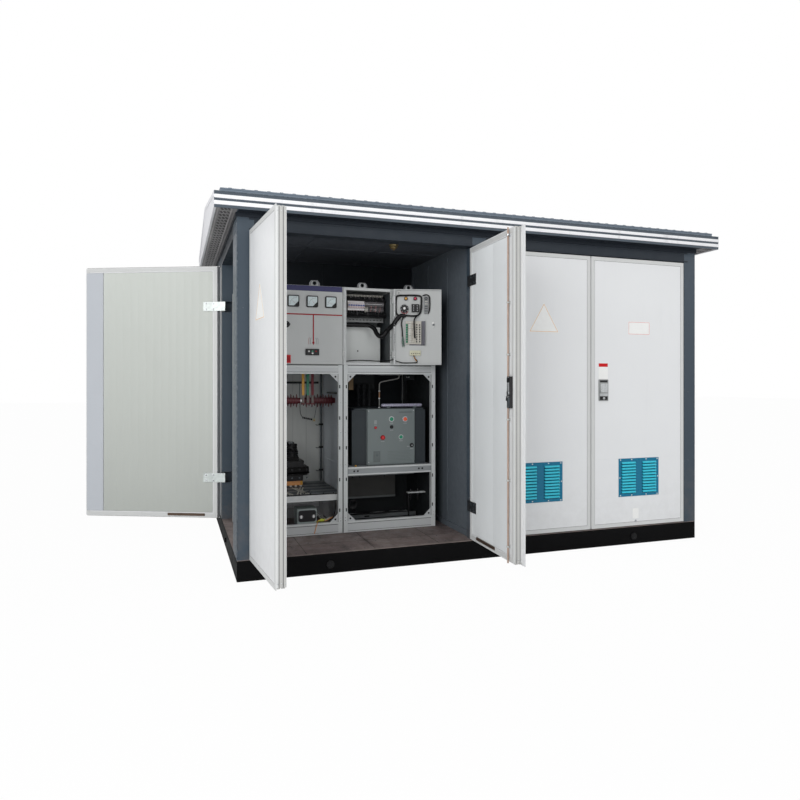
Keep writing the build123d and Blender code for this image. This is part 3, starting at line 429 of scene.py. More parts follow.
# Mesh building
class Piece:
    """One visible piece: solids gathered in its own frame, each face with its own material."""

    side = 1

    def __init__(self, name, slot=None, bevel=0.0, segments=2, body="kiosk", place=Matrix.Identity(4)):
        self.name, self.slot, self.body, self.place = name, slot, body, place
        self.bevel, self.segments = bevel, segments
        self.mesh = bmesh.new()
        self.materials = []

    def spot(self, t, s, z):
        """A place in the piece's own terms."""
        return at(t, s, z)

    def cover(self, faces, material, smooth):
        if material not in self.materials:
            self.materials.append(material)
        for face in faces:
            face.material_index = self.materials.index(material)
            face.smooth = smooth

    def box(self, low, high, material):
        """A square block between two corners."""
        middle = [(a + b) / 2 for a, b in zip(low, high)]
        size = [abs(b - a) for a, b in zip(low, high)]
        matrix = Matrix.Translation(middle) @ Matrix.Diagonal((*size, 1))
        made = bmesh.ops.create_cube(self.mesh, size=1, matrix=matrix)
        self.cover({f for v in made["verts"] for f in v.link_faces}, material, False)

    def slab(self, t, s, z, material):
        """A block from the piece's own ranges."""
        self.box(self.spot(t[0], s[0], z[0]), self.spot(t[1], s[1], z[1]), material)

    def border(self, t, z, width, s, material):
        """Four bars round a rectangle."""
        (t0, t1), (z0, z1) = t, z
        self.slab(t, s, (z0, z0 + width), material)
        self.slab(t, s, (z1 - width, z1), material)
        self.slab((t0, t0 + width), s, (z0 + width, z1 - width), material)
        self.slab((t1 - width, t1), s, (z0 + width, z1 - width), material)

    def cylinder(self, start, end, radius, material, sides=20, end_radius=None):
        """A round bar or cone between two points."""
        start, end = Vector(start), Vector(end)
        axis = end - start
        matrix = Matrix.Translation((start + end) / 2) @ axis.to_track_quat("Z", "Y").to_matrix().to_4x4()
        made = bmesh.ops.create_cone(self.mesh, cap_ends=True, segments=sides, radius1=radius,
                                     radius2=radius if end_radius is None else end_radius,
                                     depth=axis.length, matrix=matrix)
        faces = {f for v in made["verts"] for f in v.link_faces}
        self.cover(faces, material, True)
        for face in faces:
            face.smooth = len(face.verts) <= 4

    def disc(self, t, z, s0, s1, radius, material, sides=20, end_radius=None):
        """A round part that stands out of a face, from one depth to another."""
        self.cylinder(self.spot(t, s0, z), self.spot(t, s1, z), radius, material, sides, end_radius)

    def upright(self, t, s, z0, z1, radius, material, sides=20, end_radius=None):
        """A round part that stands up, from one level to another."""
        self.cylinder(self.spot(t, s, z0), self.spot(t, s, z1), radius, material, sides, end_radius)

    def loft(self, near, far, material, smooth=False):
        """A solid between two outlines of as many points."""
        near, far = ([self.mesh.verts.new(point) for point in ring] for ring in (near, far))
        count = len(near)
        self.cover([self.mesh.faces.new(near), self.mesh.faces.new(far[::-1])], material, False)
        self.cover([self.mesh.faces.new((near[k], far[k], far[(k + 1) % count], near[(k + 1) % count]))
                    for k in range(count)], material, smooth)

    def prism(self, outline, low, high, material, axis, smooth=False):
        """An outline in the plane across X or Z, thickened along that axis."""
        order = (lambda a, b, depth: (depth, a, b)) if axis == "X" else (lambda a, b, depth: (a, b, depth))
        self.loft([order(a, b, low) for a, b in outline], [order(a, b, high) for a, b in outline], material,
                  smooth)

    def plate(self, outline, s0, s1, material):
        """An outline that faces forward, from one depth to another."""
        self.loft([self.spot(t, s0, z) for t, z in outline], [self.spot(t, s1, z) for t, z in outline],
                  material)

    def tube(self, points, radius, material, sides=8, steps=6):
        """A smooth round wire or pipe through points."""
        line = smooth_line([Vector(p) for p in points], steps)
        rings = []
        across = None
        for number, point in enumerate(line):
            ahead = line[min(number + 1, len(line) - 1)] - line[max(number - 1, 0)]
            ahead.normalize()
            if across is None:
                across = ahead.orthogonal().normalized()
            across = (across - ahead * across.dot(ahead)).normalized()
            other = ahead.cross(across)
            turns = [2 * pi * k / sides for k in range(sides)]
            rings.append([self.mesh.verts.new(point + radius * (cos(turn) * across + sin(turn) * other))
                          for turn in turns])
        self.cover([self.mesh.faces.new((first[k], first[(k + 1) % sides], second[(k + 1) % sides],
                                         second[k]))
                    for first, second in zip(rings, rings[1:]) for k in range(sides)], material, True)
        self.cover([self.mesh.faces.new(rings[0][::-1]), self.mesh.faces.new(rings[-1])], material, False)

    def run(self, points, radius, material, sides=8, steps=6):
        """A wire through places in the piece's own terms."""
        self.tube([self.spot(*point) for point in points], radius, material, sides, steps)

    def screw(self, centre, direction, radius, material, sides=14):
        """A low domed screw head, standing off a surface along a direction."""
        centre, direction = Vector(centre), Vector(direction).normalized()
        shoulder = centre + direction * radius * 0.45
        self.cylinder(centre, shoulder, radius, material, sides, radius * 0.82)
        self.cylinder(shoulder, centre + direction * radius * 0.6, radius * 0.82, material, sides,
                      radius * 0.45)

    def bolt(self, centre, direction, radius, material):
        """A hexagon head on a washer."""
        centre, direction = Vector(centre), Vector(direction).normalized()
        washer = centre + direction * radius * 0.3
        self.cylinder(centre, washer, radius * 1.35, material, 18)
        self.cylinder(washer, centre + direction * radius * 1.1, radius, material, 6)

    def make(self):
        """Turn the gathered solids into an object that rides on its body."""
        bmesh.ops.recalc_face_normals(self.mesh, faces=self.mesh.faces)
        data = bpy.data.meshes.new(self.name)
        self.mesh.to_mesh(data)
        self.mesh.free()
        for material in self.materials:
            data.materials.append(material)
        data.set_sharp_from_angle(angle=radians(40))
        made = place_in_scene(self.name, data)
        made.matrix_world = self.place
        if self.bevel:
            bevel = made.modifiers.new("edges", "BEVEL")
            bevel.width, bevel.segments = self.bevel, self.segments
            bevel.limit_method, bevel.angle_limit = "ANGLE", radians(50)
        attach(made, self.body)
        return made


def smooth_line(points, steps):
    """Points on a Catmull-Rom line through the given points."""
    if len(points) == 2:
        return points
    padded = [2 * points[0] - points[1], *points, 2 * points[-1] - points[-2]]
    line = []
    for a, b, c, d in zip(padded, padded[1:], padded[2:], padded[3:]):
        for t in (step / steps for step in range(steps)):
            line.append(0.5 * (2 * b + (c - a) * t + (2 * a - 5 * b + 4 * c - d) * t ** 2
                               + (3 * b - a - 3 * c + d) * t ** 3))
    return [*line, points[-1]]


def rounded_outline(x0, x1, z0, z1, radius, steps=5):
    """A rectangle with round corners."""
    points = []
    for cx, cz, start in ((x1 - radius, z1 - radius, 0), (x0 + radius, z1 - radius, 90),
                          (x0 + radius, z0 + radius, 180), (x1 - radius, z0 + radius, 270)):
        turns = [radians(start + 90 * step / steps) for step in range(steps + 1)]
        points += [(cx + radius * cos(turn), cz + radius * sin(turn)) for turn in turns]
    return points


# Finishes of the CAD nodes
eaves_low, eaves_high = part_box("eaves_long")
EAVES_BANDS = (0.018, 0.039, 0.055, 0.075)
band_levels = [eaves_low.z + band for band in EAVES_BANDS]
front_leaves = [f"{room}_{hand}" for room in ("front", "transformer") for hand in ("left", "right")]
NODE_FINISHES = {
    "corner_posts middle_posts": slate_paint, "top_beams": shaded_beam_paint, "roof_slab": soffit_dark,
    "ceiling": ceiling_paint, "divider_wall": dark_walls, "partition_wall": back_walls,
    "base_long_beams base_cross_beams": black_paint, "floor_plates": worn_floor,
    "end_walls": end_wall_paint,
    "eaves_long": banded("banded_fascia", WHITE, SLATE, band_levels), "eaves_ends": gable_paint,
    "roof_sheets ridge_cap": roof_paint, "hinge_pins cabinet_hinges end_hinges rear_hinges": zinc,
    " ".join(f"{name}_hinges" for name in front_leaves): hinge_black,
    " ".join(f"{name}_leaf" for name in (*front_leaves, "end")): pale_paint,
    " ".join(f"rear_{room}_leaf_{hand}" for room in ("switchgear",
                                                     "transformer") for hand in "ab"): pale_paint,
    "transformer_left_vent transformer_right_vent rear_vents": vent_paint,
    "front_right_handle transformer_right_handle end_handle rear_handles": handle_steel,
    "front_right_lock_rods transformer_right_lock_rods": rod_steel,
    "cabinet_posts cabinet_rails cabinet_gussets": cabinet_frame,
    "cabinet_panels cabinet_shelves": cabinet_inside,
    "meter_box relay_box meter_door relay_door lifting_lugs": cabinet_paint,
    "panel_meters relay_door_devices relay_rails terminal_box switch_unit": black_plastic,
    "breaker_unit": breaker_side, "busbars": yellow_sleeve, "busbar_clamp": maroon,
    "ceiling_lamp": lamp_metal,
}
for names, finish in NODE_FINISHES.items():
    for name in names.split():
        node_mesh = frame["nodes"][name].data
        node_mesh.materials.clear()
        node_mesh.materials.append(finish)
        node_mesh.set_sharp_from_angle(angle=radians(35))


# Door leaves
joints = {joint["child"]: joint for joint in frame["joints"]}
# Each leaf's heading when shut, in degrees, and the side of that line on which the room lies
SHUT_HEADINGS = {"front_left": (0, 1), "front_right": (180, -1), "transformer_left": (0, 1),
                 "transformer_right": (180, -1), "end_door": (270, 1),
                 "meter_panel_door": (180, -1), "relay_panel_door": (180, -1)}

# Leaf sizes shared with the solids, from the pin outwards
LEAF_EDGE = 0.028
LEAF_OUTER, LEAF_INNER = -0.010, 0.045
LEAF_CORE_MARGIN = 0.012
LEAF_BORDER = 0.036
LEAF_RECESS = 0.005
leaf_bottom, leaf_top = floor_top + 0.006, door_head - 0.006
core_bottom, core_top = leaf_bottom + LEAF_CORE_MARGIN, leaf_top - LEAF_CORE_MARGIN
ASTRAGAL = 0.034


class Leaf:
    """A hinged leaf's own frame: u along it from the pin, v into the room, z up."""

    def __init__(self, name, body, pin, shut_heading, side, opened, free, strip=0.0):
        self.name, self.body, self.side, self.free = name, body, side, free
        self.skin_end = free + strip
        self.middle = (LEAF_EDGE + free) / 2
        heading = radians(shut_heading - side * opened)
        self.place = Matrix.Translation((pin[0], pin[1], 0)) @ Matrix.Rotation(heading, 4, "Z")

    def piece(self, part, slot, bevel=0.0, segments=2):
        return LeafPiece(self, part, slot, bevel, segments)


class LeafPiece(Piece):
    """A piece given in a leaf's u, v and z."""

    def __init__(self, leaf, part, slot, bevel, segments):
        super().__init__(f"{leaf.name}_{part}", slot, bevel, segments, leaf.body, leaf.place)
        self.side = leaf.side

    def spot(self, u, v, z):
        return (u, self.side * v, z)

    def head(self, fixing, u, v, z, radius, material, way=1, *sides):
        """A screw or bolt at a place, facing into the room (way 1) or out of it (way -1)."""
        fixing(self.spot(u, v, z), (0, way * self.side, 0), radius, material, *sides)


def joint_leaf(name, body, width, strip=0.0, edge=LEAF_EDGE):
    """The leaf that a joint turns; at rest it stands as far open as the joint can shut it."""
    opened = max(0, -joints[body]["range_deg"][0])
    return Leaf(name, body, joints[body]["pos_m"], *SHUT_HEADINGS[body], opened, edge + width, strip)


PAIR_WIDTH, TRANSFORMER_WIDTH, REAR_PAIR_WIDTH, END_WIDTH = 0.6885, 0.8205, 0.7055, 1.070
JAMB = 0.080
front_left = joint_leaf("front_left", "front_left", PAIR_WIDTH)
front_right = joint_leaf("front_right", "front_right", PAIR_WIDTH, ASTRAGAL)
transformer_left = joint_leaf("transformer_left", "transformer_left", TRANSFORMER_WIDTH)
transformer_right = joint_leaf("transformer_right", "transformer_right", TRANSFORMER_WIDTH)
end_door = joint_leaf("end_door", "end_door", END_WIDTH)
divider_low = transformer_left.place.translation.x - JAMB
rear_leaves = [Leaf(f"rear_{name}", "kiosk", (pin_x, rear - 0.010), heading, side, 0, LEAF_EDGE + width)
               for name, pin_x, heading, side, width in (
                   ("switchgear_a", left + JAMB, 0, -1, REAR_PAIR_WIDTH),
                   ("switchgear_b", divider_low + 0.020, 180, 1, REAR_PAIR_WIDTH),
                   ("transformer_a", divider_low + JAMB, 0, -1, TRANSFORMER_WIDTH),
                   ("transformer_b", right - JAMB, 180, 1, TRANSFORMER_WIDTH))]

FRAME_FACE = 0.027
FRAME_PROUD, SHEET_PROUD = 0.0015, 0.0007
FRAME_SLOT = 0.002
VENT_WIDTH, VENT_HEIGHT, VENT_BOTTOM = 0.355, 0.280, 0.352
VENT_TOP = VENT_BOTTOM + VENT_HEIGHT
RIB_PITCH = 0.062
END_STRIP = 0.101
HINGE_INSET, END_HINGE_INSET = 0.230, 0.320
LEAF_SKIN = LEAF_OUTER - SHEET_PROUD


def leaf_frame(leaf):
    """The extruded frame round a leaf: outer border, grooved edges and the inner border."""
    piece = leaf.piece("frame", "pale_paint", 0.0008)
    piece.border((LEAF_EDGE, leaf.skin_end), (leaf_bottom, leaf_top), FRAME_FACE,
                 (LEAF_OUTER - FRAME_PROUD, LEAF_OUTER + 0.001), edge_paint)
    piece.border((LEAF_EDGE + 0.004, leaf.free - 0.004), (core_bottom + 0.004, core_top - 0.004),
                 LEAF_BORDER - 0.010, (LEAF_INNER - 0.001, LEAF_INNER + 0.0012), edge_paint)
    # Free edge: three ribs with grooves between them
    rib_start = LEAF_INNER - 0.0035
    for v0, v1, rise, finish in ((LEAF_OUTER + 0.003, 0.004, 0.0016, edge_paint),
                                 (0.0038, 0.0092, 0.0002, groove_grey),
                                 (0.009, 0.026, 0.0006, rim_paint), (0.0258, 0.0312, 0.0002, groove_grey),
                                 (0.031, rib_start, 0.0016, rim_paint),
                                 (rib_start, LEAF_INNER, 0.0018, edge_paint)):
        piece.slab((leaf.free - 0.001, leaf.free + rise), (v0, v1), (core_bottom, core_top), finish)
    # Top and bottom: a stepped rail
    for levels in ((core_top - 0.001, core_top + 0.006), (core_bottom - 0.006, core_bottom + 0.001)):
        for depths in ((LEAF_OUTER + 0.006, 0.012), (0.020, 0.038)):
            piece.slab((LEAF_EDGE + 0.002, leaf.free - 0.002), depths, levels, rim_paint)
    piece.make()


def ribbed_outline(u0, u1, back, face, pitch, side):
    """A sheet's section with shallow grooves every pitch, between two edges."""
    groove, depth = 0.005, 0.0003
    points = [(u0, back), (u1, back), (u1, face)]
    count = int((u1 - u0 - 0.02) / pitch)
    for number in range(count + 1):
        middle = (u1 + u0) / 2 + count * pitch / 2 - number * pitch
        points += [(middle + groove, face), (middle + groove / 3, face - depth),
                   (middle - groove / 3, face - depth), (middle - groove, face)]
    return [(u, side * v) for u, v in [*points, (u0, face)]]


def hinge_levels(leaf):
    inset = END_HINGE_INSET if leaf is end_door else HINGE_INSET
    return (leaf_bottom + inset, leaf_top - inset)


def inner_sheet(leaf, vented):
    """The sheet in a leaf's inner recess; the end leaf's has ribs and a flat strip at the free edge."""
    sheet = leaf.piece("inner_sheet", "pale_paint")
    margin = LEAF_BORDER + 0.0015
    u0, u1 = LEAF_EDGE + margin, leaf.free - margin
    z0, z1 = core_bottom + margin, core_top - margin
    back, face = LEAF_INNER - LEAF_RECESS, LEAF_INNER - 0.0015
    if leaf is end_door:
        sheet.slab((u1 - END_STRIP, leaf.free - 0.003), (back, LEAF_INNER + 0.0020), (z0, z1), strip_paint)
        u1 -= END_STRIP + 0.003
    # The sheet leaves room for the two hinge plates
    plate_end = LEAF_EDGE + 0.112
    low_hinge, high_hinge = hinge_levels(leaf)
    parts = [(u0, plate_end, z0, low_hinge - 0.037), (u0, plate_end, low_hinge + 0.037, high_hinge - 0.037),
             (u0, plate_end, high_hinge + 0.037, z1)]
    if vented:
        half = VENT_WIDTH / 2 - 0.020
        vent_low, vent_high = VENT_BOTTOM + 0.020, VENT_TOP - 0.020
        parts += [(plate_end, u1, z0, vent_low), (plate_end, u1, vent_high, z1),
                  (plate_end, leaf.middle - half, vent_low, vent_high),
                  (leaf.middle + half, u1, vent_low, vent_high)]
    else:
        parts.append((plate_end, u1, z0, z1))
    for a, b, low, high in parts:
        pitch = RIB_PITCH if b - a > 0.15 and leaf is end_door else 10.0
        finish = inner_sheet_paint if leaf is end_door else clean_sheet_paint
        sheet.prism(ribbed_outline(a, b, back, face, pitch, leaf.side), low, high, finish, "Z")
    sheet.make()


def leaf_fittings(leaf, stay=None, finish=steel_bright, screws=()):
    """Hinge plate bolts, edge screws and the flat stay bar near the bottom."""
    fittings = leaf.piece("fittings", "zinc_steel", 0.0003, 1)
    for level in hinge_levels(leaf):
        for u in (LEAF_EDGE + 0.030, LEAF_EDGE + 0.088):
            for step in (-0.021, 0.021):
                fittings.head(fittings.bolt, u, LEAF_INNER + 0.006, level + step, 0.0055, finish)
    for v in (0.000, 0.0175, 0.038):
        for level in (core_top - 0.022, core_bottom + 0.022):
            fittings.screw(fittings.spot(leaf.free + 0.0016, v, level), (1, 0, 0), 0.0035, steel_bright)
    for u, z in screws:
        fittings.head(fittings.screw, u, LEAF_INNER + 0.0007, z, 0.004, steel_bright)
    if stay:
        u0, u1, z = stay
        fittings.slab((u0, u1), (LEAF_INNER + 0.001, LEAF_INNER + 0.005), (z - 0.010, z + 0.010),
                      stay_steel)
        for u in (u0 + 0.008, u1 - 0.008):
            fittings.disc(u, z, LEAF_INNER - 0.001, LEAF_INNER + 0.008, 0.0075, stay_steel, 16)
    fittings.make()


def outer_sheet(leaf, vented):
    """The flat outer sheet inside the frame, with a fine slot round it."""
    sheet = leaf.piece("outer_sheet", "pale_paint", 0.0004, 1)
    inset = FRAME_FACE + FRAME_SLOT
    u0, u1 = LEAF_EDGE + inset, leaf.skin_end - inset
    z0, z1 = leaf_bottom + inset, leaf_top - inset
    parts = [((u0, u1), (z0, z1))]
    if vented:
        half, vent = VENT_WIDTH / 2, (VENT_BOTTOM, VENT_TOP)
        parts = [((u0, u1), (z0, VENT_BOTTOM)), ((u0, u1), (VENT_TOP, z1)),
                 ((u0, leaf.middle - half), vent), ((leaf.middle + half, u1), vent)]
    for across, up in parts:
        sheet.slab(across, (LEAF_SKIN, LEAF_OUTER + 0.001), up, pale_paint)
    edge = FRAME_FACE - 0.0005
    sheet.border((LEAF_EDGE + edge, leaf.skin_end - edge), (leaf_bottom + edge, leaf_top - edge),
                 FRAME_SLOT + 0.0008, (LEAF_OUTER - 0.0003, LEAF_OUTER + 0.001), groove_grey)
    sheet.make()


LOUVRE_ROWS = 11
LOUVRE_DEPTH = 0.0095
LOUVRE_INSET = 0.005
VENT_MARGIN, VENT_MIDDLE = 0.022, 0.056
VENT_FACE = LEAF_OUTER - 0.003


def vent_plate(leaf):
    """A pressed louvre plate: two columns of rounded hoods, open below, and its rivets."""
    plate = leaf.piece("louvres", "vent_paint", 0.0006)
    u0, u1 = leaf.middle - VENT_WIDTH / 2, leaf.middle + VENT_WIDTH / 2
    slot_width = (VENT_WIDTH - 2 * VENT_MARGIN - VENT_MIDDLE) / 2
    pitch = (VENT_HEIGHT - 2 * VENT_MARGIN) / LOUVRE_ROWS
    field = (VENT_BOTTOM + VENT_MARGIN, VENT_TOP - VENT_MARGIN)
    plate.border((u0, u1), (VENT_BOTTOM, VENT_TOP), VENT_MARGIN, (VENT_FACE, LEAF_OUTER), vent_paint)
    plate.slab((leaf.middle - VENT_MIDDLE / 2, leaf.middle + VENT_MIDDLE / 2), (VENT_FACE, LEAF_OUTER),
               field, vent_paint)
    turns = [pi / 2 * step / 6 for step in range(7)]
    for row in range(LOUVRE_ROWS):
        low = field[0] + row * pitch
        hood_low, hood_rise = low + 0.24 * pitch, 0.66 * pitch
        # A hood's section: its outer curve up, and its inner curve down
        hood = [(VENT_FACE - LOUVRE_DEPTH * cos(turn) ** 0.8,
                 hood_low + hood_rise * sin(turn)) for turn in turns]
        hood.append((VENT_FACE - LOUVRE_DEPTH * 0.05, hood_low + hood_rise - 0.003))
        hood += [(VENT_FACE + 0.0016 - LOUVRE_DEPTH * cos(turn) ** 0.8,
                  hood_low + (hood_rise - 0.002) * sin(turn))
                 for turn in reversed(turns)]
        cheek = [(VENT_FACE, hood_low), (VENT_FACE - LOUVRE_DEPTH * 0.9, hood_low),
                 (VENT_FACE - LOUVRE_DEPTH * 0.5, hood_low + 0.7 * hood_rise),
                 (VENT_FACE, hood_low + hood_rise)]
        hood, cheek = ([(leaf.side * v, z) for v, z in outline] for outline in (hood, cheek))
        for column in (-1, 1):
            centre = leaf.middle + column * (slot_width + VENT_MIDDLE) / 2
            a, b = centre - slot_width / 2, centre + slot_width / 2
            plate.slab((a, b), (VENT_FACE, LEAF_OUTER), (low + 0.42 * pitch, low + pitch), vent_paint)
            # The hoods take the lighter blue: painted highlight
            plate.prism(hood, a + LOUVRE_INSET, b - LOUVRE_INSET, vent_hood_highlight, "X", smooth=True)
            for end in (a + LOUVRE_INSET, b - LOUVRE_INSET):
                plate.prism(cheek, end - 0.001, end + 0.001, vent_hood_highlight, "X")
    rivets = [(u0 + share * VENT_WIDTH, level) for level in (VENT_BOTTOM + 0.009, VENT_TOP - 0.009)
              for share in (0.04, 0.32, 0.68, 0.96)]
    for u, z in (*rivets, (u0 + 0.009, (VENT_BOTTOM + VENT_TOP) / 2),
                 (u1 - 0.009, (VENT_BOTTOM + VENT_TOP) / 2)):
        plate.head(plate.screw, u, VENT_FACE, z, 0.0046, white_plastic, -1)
    # A dark gauze behind the slots
    plate.slab((u0 + VENT_MARGIN, u1 - VENT_MARGIN), (LEAF_OUTER + 0.006, LEAF_OUTER + 0.008), field, gauze)
    return plate.make()


HANDLE_WIDTH, HANDLE_HEIGHT, HANDLE_BOTTOM = 0.079, 0.156, 1.058
HANDLE_FROM_EDGE = 0.060


def door_lock(leaf):
    """A flush lever lock: a plate with a dark slot at the top, a lift-up flap and a key cover below."""
    lock = leaf.piece("door_lock", "handle_metal", 0.0008)
    u1 = leaf.free - HANDLE_FROM_EDGE
    u0 = u1 - HANDLE_WIDTH
    centre = (u0 + u1) / 2
    # Each plate: how far in from the sides, its levels, its corners' radius and how far it stands out
    for inset, low, high, radius, back, proud, finish in (
            (0.0, 0.0, HANDLE_HEIGHT, 0.004, 0.0, 0.008, handle_steel),
            (0.007, 0.135, HANDLE_HEIGHT - 0.006, 0.002, 0.008, 0.0095, lock_steel),
            (0.007, 0.058, 0.131, 0.003, 0.008, 0.0150, handle_steel),
            (0.011, 0.063, 0.126, 0.003, 0.0150, 0.0165, steel_bright),
            (0.007, 0.036, 0.055, 0.002, 0.008, 0.0125, steel_bright),
            (0.007, 0.007, 0.033, 0.002, 0.008, 0.0105, lock_steel)):
        outline = rounded_outline(u0 + inset, u1 - inset, HANDLE_BOTTOM + low, HANDLE_BOTTOM + high, radius)
        lock.plate(outline, LEAF_OUTER - back, LEAF_OUTER - proud, finish)
    lock.disc(centre, HANDLE_BOTTOM + 0.020, LEAF_OUTER - 0.008, LEAF_OUTER - 0.0135, 0.009, steel_bright,
              24)
    lock.slab((centre - 0.001, centre + 0.001), (LEAF_OUTER - 0.0130, LEAF_OUTER - 0.0139),
              (HANDLE_BOTTOM + 0.014, HANDLE_BOTTOM + 0.026), lock_steel)
    return lock.make()


PLATE_THICK, PRINT_THICK = 0.0012, 0.0003


def blank_plate(leaf, name, u, z, header=0.0, border=None):
    """A plain pale plate with no lettering, with a red header of a given height or a coloured border."""
    plate = leaf.piece(name, None, 0.0004, 1)
    face = LEAF_SKIN - PLATE_THICK
    printed = (face, face - PRINT_THICK)
    plate.plate(rounded_outline(*u, *z, 0.003), LEAF_SKIN, face, pale_label)
    if header:
        plate.slab((u[0] + 0.001, u[1] - 0.001), printed, (z[1] - header, z[1] - 0.001), red_paint)
    if border:
        plate.border((u[0] + 0.003, u[1] - 0.003), (z[0] + 0.003, z[1] - 0.003), 0.0022, printed, border)
    plate.make()


PLAQUE_LOW, PLAQUE_SIDE, PLAQUE_THICK = 1.545, 0.240, 0.0010


def triangle_plaque(leaf, middle):
    """A blank white triangular plaque with an amber rim."""
    plaque = leaf.piece("plaque", None, 0.0004, 1)
    half, height = PLAQUE_SIDE / 2, PLAQUE_SIDE * sqrt(3) / 2
    face = LEAF_SKIN - PLAQUE_THICK
    corners, rim_outer, rim_inner = ([(middle - half + shrink * sqrt(3), PLAQUE_LOW + shrink),
                                      (middle + half - shrink * sqrt(3), PLAQUE_LOW + shrink),
                                      (middle, PLAQUE_LOW + height - 2 * shrink)] for shrink in (0, 0.004,
                                                                                                 0.0068))
    plaque.plate(corners, LEAF_SKIN, face, pale_label)
    for k in range(3):
        after = (k + 1) % 3
        strip = [rim_outer[k], rim_outer[after], rim_inner[after], rim_inner[k]]
        plaque.plate(strip, face, face - PRINT_THICK, amber_line)
    plaque.make()


for leaf in (front_left, front_right, transformer_left, transformer_right, end_door, *rear_leaves):
    vented = "transformer" in leaf.name
    leaf_frame(leaf)
    outer_sheet(leaf, vented)
    inner_sheet(leaf, vented)

STRIP_SCREWS = [(0.963, z) for z in (1.708, 1.684, 1.112, 1.090, 0.545, 0.521)]
leaf_fittings(end_door, (0.127, 0.427, 0.165), screws=STRIP_SCREWS)
leaf_fittings(front_left, (0.150, 0.440, 0.172))
leaf_fittings(front_right, (0.152, 0.444, 0.172), dark_zinc)
leaf_fittings(transformer_left, (0.152, 0.444, 0.172), dark_zinc)
leaf_fittings(transformer_right, (0.152, 0.444, 0.172))
for leaf in rear_leaves:
    leaf_fittings(leaf)

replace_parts(vent_plate(transformer_left), "transformer_left_vent")
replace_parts(vent_plate(transformer_right), "transformer_right_vent")
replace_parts(vent_plate(rear_leaves[2]), "rear_vents")
vent_plate(rear_leaves[3])
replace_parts(door_lock(transformer_right), "transformer_right_handle")
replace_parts(door_lock(front_right), "front_right_handle")
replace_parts(door_lock(end_door), "end_handle")
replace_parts(door_lock(rear_leaves[1]), "rear_handles")
door_lock(rear_leaves[3])
for leaf in (transformer_right, front_right, rear_leaves[1], rear_leaves[3]):
    plate_edge = leaf.free - HANDLE_FROM_EDGE
    blank_plate(leaf, "lock_plate", (plate_edge - HANDLE_WIDTH, plate_edge), (1.2175, 1.332), header=0.026)
for leaf in (transformer_right, rear_leaves[3]):
    blank_plate(leaf, "name_plate", (0.341, 0.531), (1.546, 1.642), border=red_line)
blank_plate(transformer_right, "earth_plate", (0.440, 0.492), (0.186, 0.262))
for leaf, middle in ((transformer_left, 0.467), (front_left, 0.330), (rear_leaves[2], 0.467),
                     (rear_leaves[0], 0.330)):
    triangle_plaque(leaf, middle)

# Earthing stud under its plate, and its washer
earth_stud = transformer_right.piece("earth_stud", "zinc_steel")
earth_stud.head(earth_stud.bolt, 0.466, LEAF_SKIN, 0.168, 0.0065, steel_bright, -1)
earth_stud.make()

# Lock gear inside the leaf that closes last: rods, guides, the lock case and its lever
ROD_FROM_EDGE = 0.060
ROD_RADIUS = 0.0048


def lock_gear(leaf):
    """Two long rods that slide in guides, worked by a lock case at hand height."""
    gear = leaf.piece("lock_gear", "lock_steel", 0.0006)
    u = leaf.free - ROD_FROM_EDGE
    axis = LEAF_INNER + 0.011
    middle = HANDLE_BOTTOM + HANDLE_HEIGHT / 2
    for low, high in ((leaf_bottom + 0.004, middle - 0.02), (middle + 0.02, leaf_top - 0.004)):
        gear.upright(u, axis, low, high, ROD_RADIUS, rod_steel, 16)
    for z in (leaf_bottom + 0.10, 0.62, middle - 0.16, middle + 0.22, 1.66, leaf_top - 0.048):
        finish = steel_bright if z > leaf_top - 0.06 else rim_paint
        gear.slab((u - 0.010, u + 0.010), (LEAF_INNER, LEAF_INNER + 0.003), (z - 0.008, z + 0.008), finish)
        gear.upright(u, axis, z - 0.005, z + 0.005, 0.0086, finish, 16)
    # The case and what stands on it: ranges from the rod, from the leaf and from hand height
    for u0, u1, v0, v1, low, high, finish in (
            (0.004, 0.044, 0.0, 0.020, -0.092, 0.092, lock_steel),
            (0.010, 0.038, 0.020, 0.024, 0.058, 0.084, black_plastic),
            (0.016, 0.033, 0.020, 0.0255, 0.006, 0.056, steel_bright),
            (-0.002, 0.028, 0.0205, 0.0245, -0.050, -0.022, steel_bright),
            (0.014, 0.040, 0.020, 0.025, -0.084, -0.030, dark_zinc)):
        gear.slab((u + u0, u + u1), (LEAF_INNER + v0, LEAF_INNER + v1), (middle + low, middle + high),
                  finish)
    gear.disc(u + 0.024, middle - 0.005, LEAF_INNER + 0.020, LEAF_INNER + 0.026, 0.015, steel_bright, 24)
    for z in (middle - 0.086, middle + 0.086):
        gear.head(gear.screw, u + 0.024, LEAF_INNER + 0.020, z, 0.004, steel_bright)
    return gear.make()


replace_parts(lock_gear(front_right), "front_right_lock_rods")
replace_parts(lock_gear(transformer_right), "transformer_right_lock_rods")

# Roof: ribs on both slopes, folded ends, trims on the gables and the perforated soffits
PITCH = radians(8.6)
SHEET_THICK = 0.020
RIB_STEP = 0.0742
RIB_SECTION = ((-0.013, -0.001), (-0.008, 0.0028), (0.008, 0.0028), (0.013, -0.001))
RIDGE_EDGE = 0.128
COURSES = 5
COURSE_LIFT = (0.0005, 0.0035)
roof_top = eaves_high.z
eaves_left, eaves_front = eaves_low.x, eaves_low.y
sheet_right, sheet_rear = -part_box("roof_sheets")[0].x, -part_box("roof_sheets")[0].y
ridge_level = roof_top - eaves_front * tan(PITCH)


def roof_level(y, lift=0.0):
    """The height of the roof sheet's upper face at a distance from the ridge."""
    return ridge_level + SHEET_THICK - abs(y) * tan(PITCH) + lift


